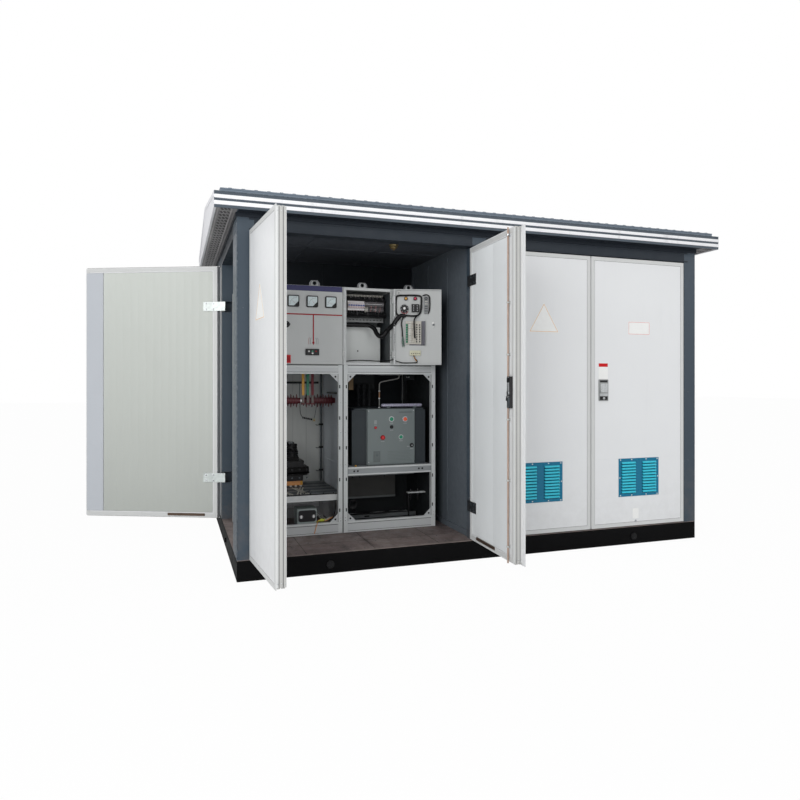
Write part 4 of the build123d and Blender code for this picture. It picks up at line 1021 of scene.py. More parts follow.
# Ribs run down both slopes, and each course laps the next with a step
ribs = Piece("roof_ribs", "roof_paint")
rib_count = int((sheet_right * 2 - 0.04) / RIB_STEP)
course_length = (sheet_rear - RIDGE_EDGE) / COURSES
for side in (-1, 1):
    for course in range(COURSES):
        y0 = RIDGE_EDGE + course * course_length
        ends = (y0, y0 + course_length + (0.006 if course < COURSES - 1 else 0.004))
        for number in range(rib_count + 1):
            x = (number - rib_count / 2) * RIB_STEP
            ribs.loft(*([(x + across, side * y, roof_level(y, lift + rise)) for across, rise in RIB_SECTION]
                        for y, lift in zip(ends, COURSE_LIFT)), roof_paint)
        section = [(side * y, roof_level(y, lift)) for y, lift in (
            (ends[0], -0.004), (ends[1], -0.004), (ends[1], COURSE_LIFT[1]), (ends[0], COURSE_LIFT[0]))]
        ribs.prism(section, -sheet_right + 0.001, sheet_right - 0.001, roof_paint, "X")
ribs.make()

# Screws with washers along the roof sheets
roof_screws = Piece("roof_screws", "roof_paint")
for side in (-1, 1):
    for y in (0.22, 0.66, 1.10):
        for number in range(-10, 11):
            x = number * 2 * RIB_STEP + RIB_STEP / 2 + 0.001
            if abs(x) < sheet_right - 0.02:
                roof_screws.screw((x, side * y, roof_level(y, 0.002)), (0, side * sin(PITCH), cos(PITCH)),
                                  0.008, roof_paint, 10)
roof_screws.make()

# Ridge cap: rolled edges, a row of screws and folded ends
cap_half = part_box("ridge_cap")[1].y
cap_trim = Piece("ridge_cap_trim", "roof_paint")
cap_lines = [(y, roof_level(y, lift)) for lift,
             way in ((-0.004, 1), (0.004, -1)) for y in (-way * cap_half, 0, way * cap_half)]
for side in (-1, 1):
    edge_level = roof_level(cap_half, 0.002)
    cap_trim.tube([(x, side * (cap_half - 0.002), edge_level) for x in (-sheet_right + 0.001,
                                                                        sheet_right - 0.001)],
                  0.004, roof_paint)
    for number in range(-12, 13):
        cap_trim.screw((number * 0.134, side * (cap_half - 0.025), roof_level(cap_half - 0.025, 0.0035)),
                       (0, side * sin(PITCH), cos(PITCH)), 0.007, roof_paint, 10)
    cap_trim.prism(cap_lines, side * (sheet_right - 0.001), side * (sheet_right + 0.0016), roof_paint, "X")
cap_trim.make()

# Gable plates: a folded lower edge, a cover strip along the slope and the joint at the middle
FASCIA_SHEET = 0.012
gable_trim = Piece("gable_trim", "eaves_paint", 0.0006)
fascia_inner = eaves_front + FASCIA_SHEET
slope_drop = abs(fascia_inner) * tan(PITCH)
for side in (-1, 1):
    face, back = side * -eaves_left, side * (-eaves_left - 0.001)
    for proud, half, low, high, finish in (
            (0.0022, fascia_inner, eaves_low.z, eaves_low.z + 0.024, gable_paint),
            (0.001, fascia_inner, eaves_low.z + 0.0245, eaves_low.z + 0.030, slate_paint),
            (0.0015, 0.012, eaves_low.z + 0.030, ridge_level - 0.032, gable_paint)):
        gable_trim.box((back, -half, low), (face + side * proud, half, high), finish)
    for way in (-1, 1):
        strip = [(-way * fascia_inner, ridge_level - slope_drop - 0.030), (0, ridge_level - 0.030),
                 (0, ridge_level - 0.002), (-way * fascia_inner, ridge_level - slope_drop - 0.002)]
        gable_trim.prism(strip, back, face + side * 0.003, gable_paint, "X")
    for y in (-1.0, -0.6, -0.2, 0.2, 0.6, 1.0):
        for proud, level in ((0.0022, eaves_low.z + 0.012),
                             (0.003, ridge_level - abs(y) * tan(PITCH) - 0.016)):
            gable_trim.screw((face + side * proud, y, level), (side, 0, 0), 0.004, gable_paint)
gable_trim.make()

# Soffits under the gables: folds along them and a field of holes between the folds
soffit_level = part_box("top_beams")[1].z + 0.027
SOFFIT_WIDTH = 0.121
SOFFIT_FOLDS = ((0.0, 0.0006), (0.010, 0.0006), (0.013, 0.0036), (0.020, 0.0036), (0.023, 0.0010),
                (0.088, 0.0010),
                (0.091, 0.0036), (0.098, 0.0036), (0.101, 0.0008), (0.112, 0.0008))
HOLE_STEP = 0.0260
HOLE_RADIUS = 0.0090


def end_soffit(side, name):
    """The soffit under one gable, with every third row of holes left out."""
    soffit = Piece(name, "slate_paint")
    outer, wall = side * (-eaves_left - FASCIA_SHEET - 0.001), side * (right + 0.002)
    y0, y1 = fascia_inner + 0.002, -fascia_inner - 0.002
    scale = side * abs(outer - wall) / SOFFIT_WIDTH
    section = [(outer - fold * scale, soffit_level - drop) for fold, drop in SOFFIT_FOLDS]
    section += [(wall, soffit_level - 0.0008), (wall, soffit_level + 0.001), (outer, soffit_level + 0.001)]
    soffit.loft(*([(x, y, z) for x, z in section] for y in (y0, y1)), soffit_sheet)
    for row in range(int((y1 - y0) / HOLE_STEP) - 1):
        for column in range(3 if row % 3 < 2 else 0):
            x = outer - (0.032 + column * 0.0210 + (0.006 if row % 3 else 0)) * scale
            ring = [soffit.mesh.verts.new((x + HOLE_RADIUS * cos(k * pi / 3),
                                           y0 + HOLE_STEP * (row + 1) + HOLE_RADIUS * sin(k * pi / 3),
                                           soffit_level - 0.0012)) for k in range(6)]
            soffit.cover([soffit.mesh.faces.new(ring[::-1])], hole_black, False)
    soffit.make()


end_soffit(-1, "left_soffit")
end_soffit(1, "right_soffit")

# Long soffits: a plain sheet with three battens along it and three across
SOFFIT_END = -eaves_left - 0.14
long_soffits = Piece("long_soffits", "slate_paint", 0.0004, 1)
for side in (-1, 1):
    y0, y1 = side * (-fascia_inner - 0.001), side * (rear + 0.001)
    strips = [(-SOFFIT_END, SOFFIT_END, y0, y1, 0.0010)]
    strips += [(-SOFFIT_END, SOFFIT_END, y0 + (y1 - y0) * share - 0.004, y0 + (y1 - y0) * share + 0.004,
                0.0042)
               for share in (0.16, 0.5, 0.84)]
    strips += [(x - 0.010, x + 0.010, y0, y1, 0.0030) for x in (-0.85, 0.0, 0.85)]
    for x0, x1, low_y, high_y, drop in strips:
        long_soffits.box((x0, low_y, soffit_level - drop), (x1, high_y, soffit_level), soffit_dark)
long_soffits.make()

# Fascia: a folded line at each change of colour, and the lap over the roof's edge
fascia_lines = Piece("fascia_lines", "eaves_paint", 0.0005, 1)
for side in (-1, 1):
    y, lap_y = side * (-eaves_front - 0.0042), side * (-eaves_front - 0.013)
    for level, finish in zip(band_levels, (gable_paint, slate_paint, gable_paint, slate_paint)):
        fascia_lines.box((eaves_left + 0.002, y - 0.0012, level - 0.0012),
                         (-eaves_left - 0.002, y + 0.0012, level + 0.0006),
                         finish)
    fascia_lines.box((eaves_left, lap_y - 0.0008, roof_top - 0.002),
                     (-eaves_left, lap_y + 0.012 * side, roof_top + 0.0015),
                     slate_paint)
fascia_lines.make()

# Beams: the cover strips and drip edge along the door head
beam_trim = Piece("beam_trim", "slate_paint", 0.0006, 1)
for side in (-1, 1):
    for proud, low, high in ((0.003, door_head + 0.0015, door_head + 0.010),
                             (0.002, frame_top - 0.012, frame_top - 0.001)):
        beam_trim.box((left + 0.07, side * (rear - 0.001), low),
                      (right - 0.07, side * (rear + proud), high), shaded_beam_paint)
beam_trim.make()

# Ceiling and walls of the switchgear room: sheet joints, battens and the divider's foot
PARTITION, DIVIDER = 1.346, 1.560
ceiling_joint = (ceiling_level - 0.003, ceiling_level + 0.001)
room_joints = Piece("room_joints", "slate_paint", 0.0006, 1)
for t in (0.55, 1.06):
    room_joints.slab((t - 0.012, t + 0.012), (0.07, PARTITION), ceiling_joint, ceiling_paint)
room_joints.slab((0.062, 1.558), (0.70, 0.724), ceiling_joint, ceiling_paint)
for s in (0.10, 0.52, 0.94, 1.30):
    room_joints.slab((DIVIDER - 0.0035, DIVIDER + 0.001), (s - 0.011, s + 0.011),
                     (floor_top, door_head + 0.01), dark_walls)
for t in (0.38, 0.80, 1.22):
    room_joints.slab((t - 0.011, t + 0.011), (PARTITION - 0.0035, PARTITION + 0.001),
                     (floor_top, ceiling_level - 0.001),
                     back_walls)
room_joints.slab((DIVIDER - 0.012, DIVIDER + 0.001), (0.075, PARTITION), (floor_top, floor_top + 0.040),
                 dark_walls)
room_joints.make()

# Floor: plate joints, flat screws and the angles along its long edges
length, depth = right - left, rear - front
floor_trim = Piece("floor_trim", "floor_steel", 0.0006, 1)
joint_levels = (floor_top - 0.002, floor_top + 0.0006)
for t in (0.42, 0.86, 1.30, 1.95, 2.40, 2.85):
    floor_trim.slab((t - 0.0016, t + 0.0016), (0.012, depth - 0.012), joint_levels, dark_joint)
for s in (0.26, 0.52, 1.20, 1.70):
    floor_trim.slab((0.012, length - 0.012), (s - 0.0016, s + 0.0016), joint_levels, dark_joint)
for t in (0.14, 0.36, 0.48, 0.80, 0.92, 1.24, 1.36, 1.50):
    for s in (0.05, 0.22, 0.30, 0.49):
        floor_trim.screw(at(t, s, floor_top - 0.0008), (0, 0, 1), 0.005, dark_zinc, 12)
for depths in ((0.0005, 0.010), (depth - 0.010, depth - 0.0005)):
    floor_trim.slab((0.001, length - 0.001), depths, (floor_top - 0.004, floor_top + 0.0009), floor_edge)
floor_trim.make()

# Base: weld seams and the round bosses on the long beams and the ends
base_fittings = Piece("base_fittings", "base_paint", 0.0008)
for side in (-1, 1):
    for t in (2.835, 0.565):
        for start, end, radius, sides in ((0.0, 0.010, 0.024, 32), (0.010, 0.014, 0.013, 6)):
            base_fittings.cylinder((along(t), side * (rear + start), 0.056),
                                   (along(t), side * (rear + end), 0.056),
                                   radius, lug_black, sides)
    for low, high in ((floor_top - 0.012, floor_top - 0.003), (0.0, 0.008)):
        base_fittings.box((left + 0.002, side * (rear - 0.001), low),
                          (right - 0.002, side * (rear + 0.0025), high), black_paint)
    base_fittings.box((side * (right - 0.001), front + 0.002, floor_top - 0.012),
                      (side * (right + 0.0025), rear - 0.002, floor_top - 0.003), black_paint)
    base_fittings.cylinder((side * right, -0.2, 0.062), (side * (right + 0.010), -0.2, 0.062), 0.016,
                           black_paint, 28)
base_fittings.make()

# Posts: a folded edge line down each outer corner and the screws that hold the cover strips
post_trim = Piece("post_trim", "slate_paint", 0.0005, 1)
for middle, outer, way in ((left + 0.050, left, 1), (right - 0.050, right, -1), (along(1.585), None, 0)):
    for side in (-1, 1):
        if way:
            x = outer + way * 0.004
            post_trim.box((x - 0.001, side * (rear - 0.001), floor_top + 0.002),
                          (x + 0.001, side * (rear + 0.0022), door_head - 0.001), slate_paint)
            post_trim.box((outer, side * (rear - 0.001), floor_top + 0.002),
                          (outer - way * 0.0018, side * (rear - 0.016), frame_top - 0.001), slate_paint)
        for z in (0.60, 1.12, 1.64):
            post_trim.screw((middle - 0.015, side * rear, z), (0, side, 0), 0.0045, slate_paint)
post_trim.make()

# End walls: panels in their frames with screws, and the plates over and beside them
wall_trim = Piece("end_wall_panels", "pale_paint", 0.0005, 1)
for side, s0, s1 in ((-1, 1.452, 2.094), (1, 0.106, 0.766), (1, 0.770, 1.430), (1, 1.434, 2.094)):
    back, out = side * (right - 0.001), side * (right + 0.0022)
    y0, y1, z0, z1 = inward(s0), inward(s1), floor_top + 0.008, door_head - 0.004
    wall_trim.box((back, y0 + 0.029, z0 + 0.029), (side * (right + 0.0012), y1 - 0.029, z1 - 0.029),
                  end_wall_paint)
    for a, b, low, high in ((y0, y0 + FRAME_FACE, z0, z1), (y1 - FRAME_FACE, y1, z0, z1),
                            (y0 + FRAME_FACE, y1 - FRAME_FACE, z0, z0 + FRAME_FACE),
                            (y0 + FRAME_FACE, y1 - FRAME_FACE, z1 - FRAME_FACE, z1)):
        wall_trim.box((back, a, low), (out, b, high), edge_paint)
    for z in (z0 + 0.013, (z0 + z1) / 2, z1 - 0.013):
        for y in (y0 + 0.013, y1 - 0.013):
            wall_trim.screw((out, y, z), (side, 0, 0), 0.0045, steel_bright)
for side, s0, s1 in ((-1, 0.102, 0.258), (-1, 1.448, 2.098), (1, 0.102, 2.098)):
    wall_trim.box((side * (right - 0.001), inward(s0), door_head),
                  (side * (right + 0.0030), inward(s1), frame_top), slate_paint)
wall_trim.slab((-0.0012, 0.001), (0.102, 0.258), (floor_top + 0.002, door_head - 0.001), slate_paint)
wall_trim.make()

# Switchgear cabinets
FORWARD = (0, -1, 0)
BAY = 0.698
CABINET_POST = 0.034
meter_low, meter_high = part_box("meter_box")
cabinet_front, box_bottom, cabinet_top = meter_low.y, meter_low.z, meter_high.z
cabinet_edges = (meter_low.x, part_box("relay_box")[0].x)
rail_top = floor_top + 0.080
head_rail_low = box_bottom - 0.064

SLOT_LEVELS = (0.290, 0.506, 0.730, 0.941, 1.163)
HALF_SLOT_WIDTH, HALF_SLOT_HEIGHT = 0.004, 0.012
FACE_SHEET = 0.0018


def post_face(piece, x0, x1, way):
    """The front of a cabinet post: a folded face with slots near its inner edge, and small screws."""
    y0, y1 = cabinet_front - FACE_SHEET, cabinet_front + 0.0002
    slot_x, fold_x, screw_x = (x0 + 0.011, x1 - 0.0045,
                               x1 - 0.016) if way < 0 else (x1 - 0.011, x0 + 0.0025, x0 + 0.016)
    slot0, slot1 = slot_x - HALF_SLOT_WIDTH, slot_x + HALF_SLOT_WIDTH
    low, high = floor_top + 0.002, box_bottom - 0.001
    ends = [level + step for level in SLOT_LEVELS for step in (-HALF_SLOT_HEIGHT, HALF_SLOT_HEIGHT)]
    ends = [low, *ends, high]
    parts = [(x0 + 0.0008, slot0, low, high), (slot1, x1 - 0.0008, low, high)]
    parts += [(slot0, slot1, z0, z1) for z0, z1 in zip(ends[::2], ends[1::2])]
    for a, b, z0, z1 in parts:
        piece.box((a, y0, z0), (b, y1, z1), post_steel)
    for z0, z1 in zip(ends[1:-1:2], ends[2:-1:2]):
        piece.box((slot0, y1 - 0.0004, z0), (slot1, y1, z1), slot_dark)
    piece.box((fold_x, y0 - 0.0012, low), (fold_x + 0.002, y0 + 0.0002, high), post_steel)
    for level in (0.215, 0.235, 0.61, 0.84, 1.05):
        piece.screw((screw_x, y0, level), FORWARD, 0.0035, steel_bright, 12)


post_faces = Piece("cabinet_post_faces", "cabinet_paint", 0.0004, 1)
for edge in cabinet_edges:
    x0, x1 = edge + CABINET_POST, edge + BAY - CABINET_POST
    post_face(post_faces, edge, x0, 1)
    post_face(post_faces, x1, edge + BAY, -1)
    # Dark joints beside the posts, under the upper case and over the floor
    joint_strips = [(x - 0.0028, x + 0.0022, 0.0024, floor_top + 0.002, box_bottom) for x in (edge,
                                                                                              edge + BAY)]
    joint_strips += [(x - 0.0010, x + 0.0010, 0.0022, rail_top, head_rail_low) for x in (x0, x1)]
    joint_strips += [(x0, x1, 0.0017, z, z + thick) for z, thick in (
        (box_bottom - 0.004, 0.004), (head_rail_low + 0.012, 0.002), (rail_top - 0.017, 0.003),
        (floor_top + 0.010, 0.002))]
    for a, b, proud, low, high in joint_strips:
        post_faces.box((a, cabinet_front - proud, low), (b, cabinet_front, high), slot_dark)
post_faces.make()

# Rails: stepped faces with a bolt and a thin fold near each of their corners
rail_faces = Piece("cabinet_rail_faces", "cabinet_paint", 0.0006, 1)
for edge in cabinet_edges:
    x0, x1 = edge + CABINET_POST, edge + BAY - CABINET_POST
    for proud, low, high in ((0.0015, head_rail_low, head_rail_low + 0.012),
                             (0.0010, head_rail_low + 0.044, box_bottom - 0.002),
                             (0.0015, rail_top - 0.014, rail_top),
                             (0.0012, floor_top + 0.001, floor_top + 0.010)):
        rail_faces.box((x0, cabinet_front - proud, low), (x1, cabinet_front + 0.0005, high), post_steel)
    for x, way in ((x0, 1), (x1, -1)):
        for z, up in ((rail_top, 1), (head_rail_low, -1)):
            rail_faces.bolt((x + way * 0.019, cabinet_front + 0.0018, z + up * 0.019), FORWARD, 0.0052,
                            lock_steel)
            fold = [(x, z + up * 0.060), (x + way * 0.060, z), (x + way * 0.057, z), (x, z + up * 0.057)]
            rail_faces.loft(*([(a, cabinet_front + deep, b) for a, b in fold] for deep in (0.0008, 0.0025)),
                            post_steel)
rail_faces.make()

# Upper cases: bright folded edges round their openings, and their screws
case_edges = Piece("cabinet_case_edges", "cabinet_paint", 0.0006)
edge_face = cabinet_front - front - 0.0010
for t0, t1, deep, low, high, finish in (
        (0.7725, 0.793, 0.0024, box_bottom + 0.001, cabinet_top - 0.001, edge_bright),
        (0.793, 1.118, 0.0024, cabinet_top - 0.019, cabinet_top - 0.001, edge_bright),
        (0.793, 1.118, 0.0024, box_bottom + 0.001, box_bottom + 0.018, edge_bright),
        (1.118, 1.129, 0.0024, box_bottom + 0.001, cabinet_top - 0.001, cabinet_paint),
        (0.793, 0.7945, 0.0160, box_bottom + 0.018, cabinet_top - 0.019, edge_bright),
        (0.793, 1.118, 0.0160, box_bottom + 0.018, box_bottom + 0.0195, edge_bright),
        (0.0715, 0.7695, 0.0024, cabinet_top - 0.006, cabinet_top - 0.0005, edge_bright)):
    case_edges.slab((t0, t1), (edge_face, edge_face + deep), (low, high), finish)
for z in (1.789, 1.402):
    for step in (-0.008, 0.008):
        case_edges.screw(at(0.7785, edge_face, z + step), FORWARD, 0.0038, white_plastic)
for z in (1.80, 1.66, 1.52, 1.39):
    case_edges.screw(at(1.1235, edge_face, z), FORWARD, 0.003, lock_steel, 12)
case_edges.make()

# Doors of the upper cases, each in its own frame from its pin
CASE_EDGE, METER_DOOR_WIDTH, RELAY_DOOR_WIDTH = 0.006, 0.686, 0.345
meter_leaf = joint_leaf("meter_case_door", "meter_panel_door", METER_DOOR_WIDTH, edge=CASE_EDGE)
relay_leaf = joint_leaf("relay_case_door", "relay_panel_door", RELAY_DOOR_WIDTH, edge=CASE_EDGE)

# Meter door face: coloured strips, the single-line diagram and its controls
PRINT = (-0.0005, 0.0002)
LINE = 0.211
diagram = meter_leaf.piece("diagram", "instrument_plastic", 0.0003, 1)
diagram.slab((0.0075, 0.6905), PRINT, (1.826, 1.863), mimic_blue)
diagram.slab((0.0075, 0.6905), PRINT, (1.659, 1.668), dark_red)
diagram.slab((LINE - 0.0042, LINE + 0.0042), PRINT, (1.470, 1.660), dark_red)
diagram.plate([(LINE - 0.009, 1.474), (LINE + 0.009, 1.474), (LINE, 1.449)], PRINT[0], 0.0, dark_red)
diagram.slab((LINE - 0.0075, LINE + 0.0075), (-0.0008, 0.0), (1.462, 1.472), dark_red)
for bow in (0.020, 0.032):
    for way in (-1, 1):
        points = [(LINE + way * (bow + step), -0.0009, z) for step, z in (
            (-0.006, 1.502), (0, 1.495), (0.001, 1.476), (0, 1.457))]
        diagram.run(points, 0.0011, dark_plastic if way < 0 or bow < 0.03 else dark_red, 6, 4)
diagram.make()

controls = meter_leaf.piece("controls", "instrument_plastic", 0.0006)
controls.slab((0.172, 0.266), (-0.010, 0.001), (1.381, 1.425), black_plastic)
controls.slab((0.177, 0.261), (-0.0112, -0.009), (1.386, 1.420), lock_steel)
for u, finish in ((0.24344, white_plastic), (0.219, button_green), (0.19456, dark_red)):
    controls.disc(u, 1.408, -0.0110, -0.0132, 0.0056, finish)
controls.disc(0.219, 1.394, -0.0110, -0.0150, 0.0062, white_plastic)
controls.slab((0.368, 0.402), (-0.009, 0.001), (1.327, 1.381), red_paint)
controls.slab((0.374, 0.396), (-0.011, -0.009), (1.335, 1.373), dark_red)
controls.disc(0.395, 1.591, 0.001, -0.006, 0.022, black_plastic, 28)
controls.disc(0.395, 1.591, -0.006, -0.022, 0.014, black_plastic, 24, 0.011)
controls.slab((0.373, 0.401), (-0.026, -0.016), (1.587, 1.595), black_plastic)
for u in (0.476, 0.551, 0.626):
    for z, finish in ((1.595, button_green), (1.53, button_red)):
        controls.disc(u, z, 0.001, -0.004, 0.015, steel_bright, 24)
        controls.disc(u, z, -0.004, -0.012, 0.011, finish, 24, 0.009)
for z in (1.45, 1.72):
    controls.disc(0.672, z, 0.001, -0.005, 0.010, steel_bright, 24)
    controls.slab((0.671, 0.673), (-0.0056, -0.0048), (z - 0.006, z + 0.006), lock_steel)
controls.make()

# Panel meters: a dark rounded case, a pale dial with a dark corner, its scale and needle
METER_HALF, METER_PITCH, METER_LEVEL = 0.040, 0.130, 1.753
NEEDLE_TURNS = (25, 48, 34, 16, 56)


def dial_point(hub, distance, turn, aside=0.0):
    """A place at a distance from a dial's hub along a turn, moved aside from that line."""
    return (hub[0] + distance * cos(turn) - aside * sin(turn),
            hub[1] + distance * sin(turn) + aside * cos(turn))


meters = meter_leaf.piece("panel_meters", "instrument_plastic", 0.0006)
for number, needle in enumerate(NEEDLE_TURNS):
    centre = CASE_EDGE + METER_DOOR_WIDTH / 2 + (number - 2) * METER_PITCH
    for inset, radius, v0, v1 in ((0.0, 0.010, 0.0, -0.0100), (0.003, 0.008, -0.0100, -0.0118)):
        half = METER_HALF - inset
        outline = rounded_outline(centre - half, centre + half, METER_LEVEL - half, METER_LEVEL + half,
                                  radius)
        meters.plate(outline, v0, v1, black_plastic)
    inner, corner = METER_HALF - 0.0075, 0.030
    u0, u1, z0, z1 = centre - inner, centre + inner, METER_LEVEL - inner, METER_LEVEL + inner
    meters.plate([(u1, z0), (u1, z1), (u0, z1), (u0, z0 + corner), (u0 + corner, z0)], -0.0110, -0.0122,
                 glass_dial)
    hub = (u0 + 0.010, z0 + 0.010)
    for tick in range(13):
        turn = radians(3 + tick * 7)
        start, end, wide = 0.043, (0.049 if tick % 3 else 0.052), 0.0006
        meters.plate([dial_point(hub, start, turn, wide), dial_point(hub, end, turn, wide),
                      dial_point(hub, end, turn, -wide), dial_point(hub, start, turn, -wide)], -0.0122,
                     -0.0125, lock_steel)
    turn = radians(needle)
    meters.plate([dial_point(hub, 0.016, turn, 0.0007), dial_point(hub, 0.046, turn),
                  dial_point(hub, 0.016, turn, -0.0007)],
                 -0.0122, -0.0127, dark_red)
    meters.disc(hub[0] + 0.003, hub[1] + 0.003, -0.0100, -0.0128, 0.0035, lock_steel, 16)
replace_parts(meters.make(), "panel_meters")


def reach(corners, turn):
    """How far a ray from the centre runs inside a convex outline."""
    nearest = 1.0
    for (ax, az), (bx, bz) in zip(corners, corners[1:] + corners[:1]):
        edge_x, edge_z = bx - ax, bz - az
        across = cos(turn) * edge_z - sin(turn) * edge_x
        if abs(across) < 1e-9:
            continue
        distance = (ax * edge_z - az * edge_x) / across
        share = (ax * sin(turn) - az * cos(turn)) / across
        if distance > 0 and -1e-6 <= share <= 1 + 1e-6:
            nearest = min(nearest, distance)
    return nearest


def eye_plate(piece, centre, corners, hole_radius, y0, y1, material, steps=36):
    """A flat plate across Y with a round hole at its centre."""
    turns = [2 * pi * k / steps for k in range(steps)]
    rims = [[(reach(corners, turn), turn) for turn in turns], [(hole_radius, turn) for turn in turns]]
    outer0, inner0, outer1, inner1 = (
        [piece.mesh.verts.new((centre[0] + radius * cos(turn), y,
                               centre[1] + radius * sin(turn))) for radius, turn in rim]
        for y in (y0, y1) for rim in rims)
    flat, hole = [], []
    for k in range(steps):
        n = (k + 1) % steps
        flat += [piece.mesh.faces.new(corner) for corner in (
            (outer0[k], outer0[n], inner0[n], inner0[k]), (outer1[k], inner1[k], inner1[n], outer1[n]),
            (outer0[k], outer1[k], outer1[n], outer0[n]))]
        hole.append(piece.mesh.faces.new((inner0[k], inner0[n], inner1[n], inner1[k])))
    piece.cover(flat, material, False)
    piece.cover(hole, material, True)


# Lifting lugs: an eye plate with a raised ring on both faces, each on its foot
LUG_OUTLINE = [(-0.039, -0.026), (0.039, -0.026), (0.036, 0.004), (0.022, 0.020), (-0.022, 0.020),
               (-0.036, 0.004)]
RING_OUTLINE = [(x * 0.66, z * 0.66 if z > 0 else -0.021) for x, z in LUG_OUTLINE]
lugs = Piece("lifting_eyes", "cabinet_paint", 0.0006)
lug_low, lug_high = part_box("lifting_lugs")
for edge in cabinet_edges:
    for x in (edge + 0.155, edge + BAY - 0.190):
        eye = (x, cabinet_top + 0.026)
        eye_plate(lugs, eye, LUG_OUTLINE, 0.013, lug_low.y, lug_high.y, lug_steel)
        for y0, y1 in ((lug_low.y - 0.004, lug_low.y), (lug_high.y, lug_high.y + 0.004)):
            eye_plate(lugs, eye, RING_OUTLINE, 0.0145, y0, y1, edge_bright)
        for step in (-0.030, 0.030):
            lugs.bolt((x + step, lug_low.y - 0.010, cabinet_top), (0, 0, 1), 0.006, steel_bright)
        lugs.box((x - 0.039, lug_low.y - 0.022, cabinet_top),
                 (x + 0.039, lug_low.y + 0.001, cabinet_top + 0.003), lug_steel)
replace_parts(lugs.make(), "lifting_lugs")

# Relay case inside: back sheet, mounting plate, rails, small breakers, terminals and black wiring
inside = Piece("relay_case_inside", "cabinet_paint", 0.0006)
inside.slab((0.7775, 1.125), (0.900, 0.903), (box_bottom + 0.004, cabinet_top - 0.004), cabinet_inside)
inside.slab((0.7815, 1.095), (0.712, 0.715), (1.335, 1.603), plate_grey)
inside.slab((0.7815, 0.7845), (0.712, 0.732), (1.335, 1.603), plate_grey)
# A dark sheet on the case's right inner wall: painted shade
inside.slab((1.1238, 1.125), (0.548, 0.898), (box_bottom + 0.020, cabinet_top - 0.021), shadow_grey)
inside.disc(0.923, 1.425, 0.7114, 0.713, 0.0055, lock_steel)
inside.slab((0.7775, 1.125), (0.545, 0.700), (box_bottom + 0.004, box_bottom + 0.007), cabinet_inside)
for level, deep in ((1.654, 0.690), (1.752, 0.700)):
    for step, low, high in ((0, -0.0175, -0.011), (0, 0.011, 0.0175), (0.006, -0.012, 0.012)):
        inside.slab((0.7815, 1.115), (deep + step, deep + step + 0.0015), (level + low, level + high),
                    rail_zinc)
for step in range(12):
    t = 0.8025 + step * 0.026
    inside.slab((t, t + 0.012), (0.6951, 0.6960), (1.651, 1.657), slot_dark)
inside.slab((0.7835, 1.080), (0.690, 0.712), (1.668, 1.680), rail_zinc)

# Small breakers: white cases with blue toggles and pale red windows
BREAKER_STEP = 0.0178
for number in range(7):
    t0 = 0.829 + number * BREAKER_STEP
    t1 = t0 + BREAKER_STEP - 0.0006
    for inset, depths, levels, finish in (
            (0, (0.640, 0.700), (1.718, 1.786), mcb_white), (0, (0.626, 0.642), (1.734, 1.770), mcb_white),
            (0.003, (0.617, 0.628), (1.748, 1.757), toggle_blue),
            (0.004, (0.6254, 0.6265), (1.737, 1.743), mcb_pink)):
        inside.slab((t0 + inset, t1 - inset), depths, levels, finish)
    for z in (1.725, 1.779):
        inside.disc((t0 + t1) / 2, z, 0.6395, 0.642, 0.0036, steel_bright, 12)
inside.slab((0.812, 0.827), (0.655, 0.700), (1.722, 1.782), lock_steel)

# Terminal blocks right of the breakers, in two rows, with their screws
for z, s in ((1.766, 0.650), (1.728, 0.664)):
    for number in range(19):
        t = 0.957 + number * 0.0079
        finish = terminal_pale if number in (1, 2, 3) and z < 1.75 else terminal_grey
        inside.slab((t, t + 0.0070), (s, 0.700), (z - 0.017, z + 0.017), finish)
        inside.slab((t + 0.001, t + 0.006), (s - 0.006, s), (z - 0.008, z + 0.008), finish)
        inside.disc(t + 0.0035, z, s - 0.0068, s - 0.0055, 0.0023, steel_bright, 10)
# Terminals at the top: pale ends over dark blocks
for number in range(25):
    t = 0.824 + number * 0.0112
    inside.slab((t, t + 0.0098), (0.672, 0.716), (1.806, 1.838),
                lock_steel if number % 3 else terminal_grey)
    inside.slab((t + 0.0016, t + 0.0082), (0.668, 0.673), (1.822, 1.836), terminal_pale)
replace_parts(inside.make(), "relay_rails")

wires = Piece("relay_wiring", "instrument_plastic")
draw = Random(7)
for number in range(30):
    t = 0.822 + number * 0.0100
    sway = draw.uniform(-0.004, 0.004)
    start = (t + sway, 0.668, 1.824 - 0.004 * draw.random())
    drop = 1.789 if number < 13 else 1.785
    wires.run([start, (t + 2 * sway, 0.650 + 0.006 * draw.random(), 1.808), (t - sway, 0.652, drop)],
              0.0021, black_plastic if number % 9 else dark_plastic, 6, 3)
    start = (t + sway, 0.646, 1.718 if number < 13 else 1.712)
    end = (t - 1.5 * sway, 0.650, 1.672 + 0.006 * draw.random())
    wires.run([start, (t + 1.4 * sway, 0.636 - 0.004 * draw.random(), 1.696), end],
              0.0021, black_plastic if number % 8 else terminal_grey, 6, 3)
for height, deep in ((1.800, 0.655), (1.792, 0.645), (1.690, 0.642), (1.681, 0.650), (1.673, 0.640)):
    wires.run([(0.800 + 0.079 * k, deep + draw.uniform(-0.004, 0.004), height + draw.uniform(-0.003, 0.003))
               for k in range(5)], 0.0062, black_plastic, 8, 4)
for bundle in range(7):
    t = 0.985 + bundle * 0.018
    wires.run([(t, 0.648, 1.745),
               (t + draw.uniform(-0.004, 0.004), 0.628, 1.741 + draw.uniform(-0.004, 0.010)),
               (t + draw.uniform(-0.006, 0.006), 0.646, 1.710)], 0.0019,
              mcb_pink if bundle % 2 else dark_plastic, 6, 4)
wires.make()

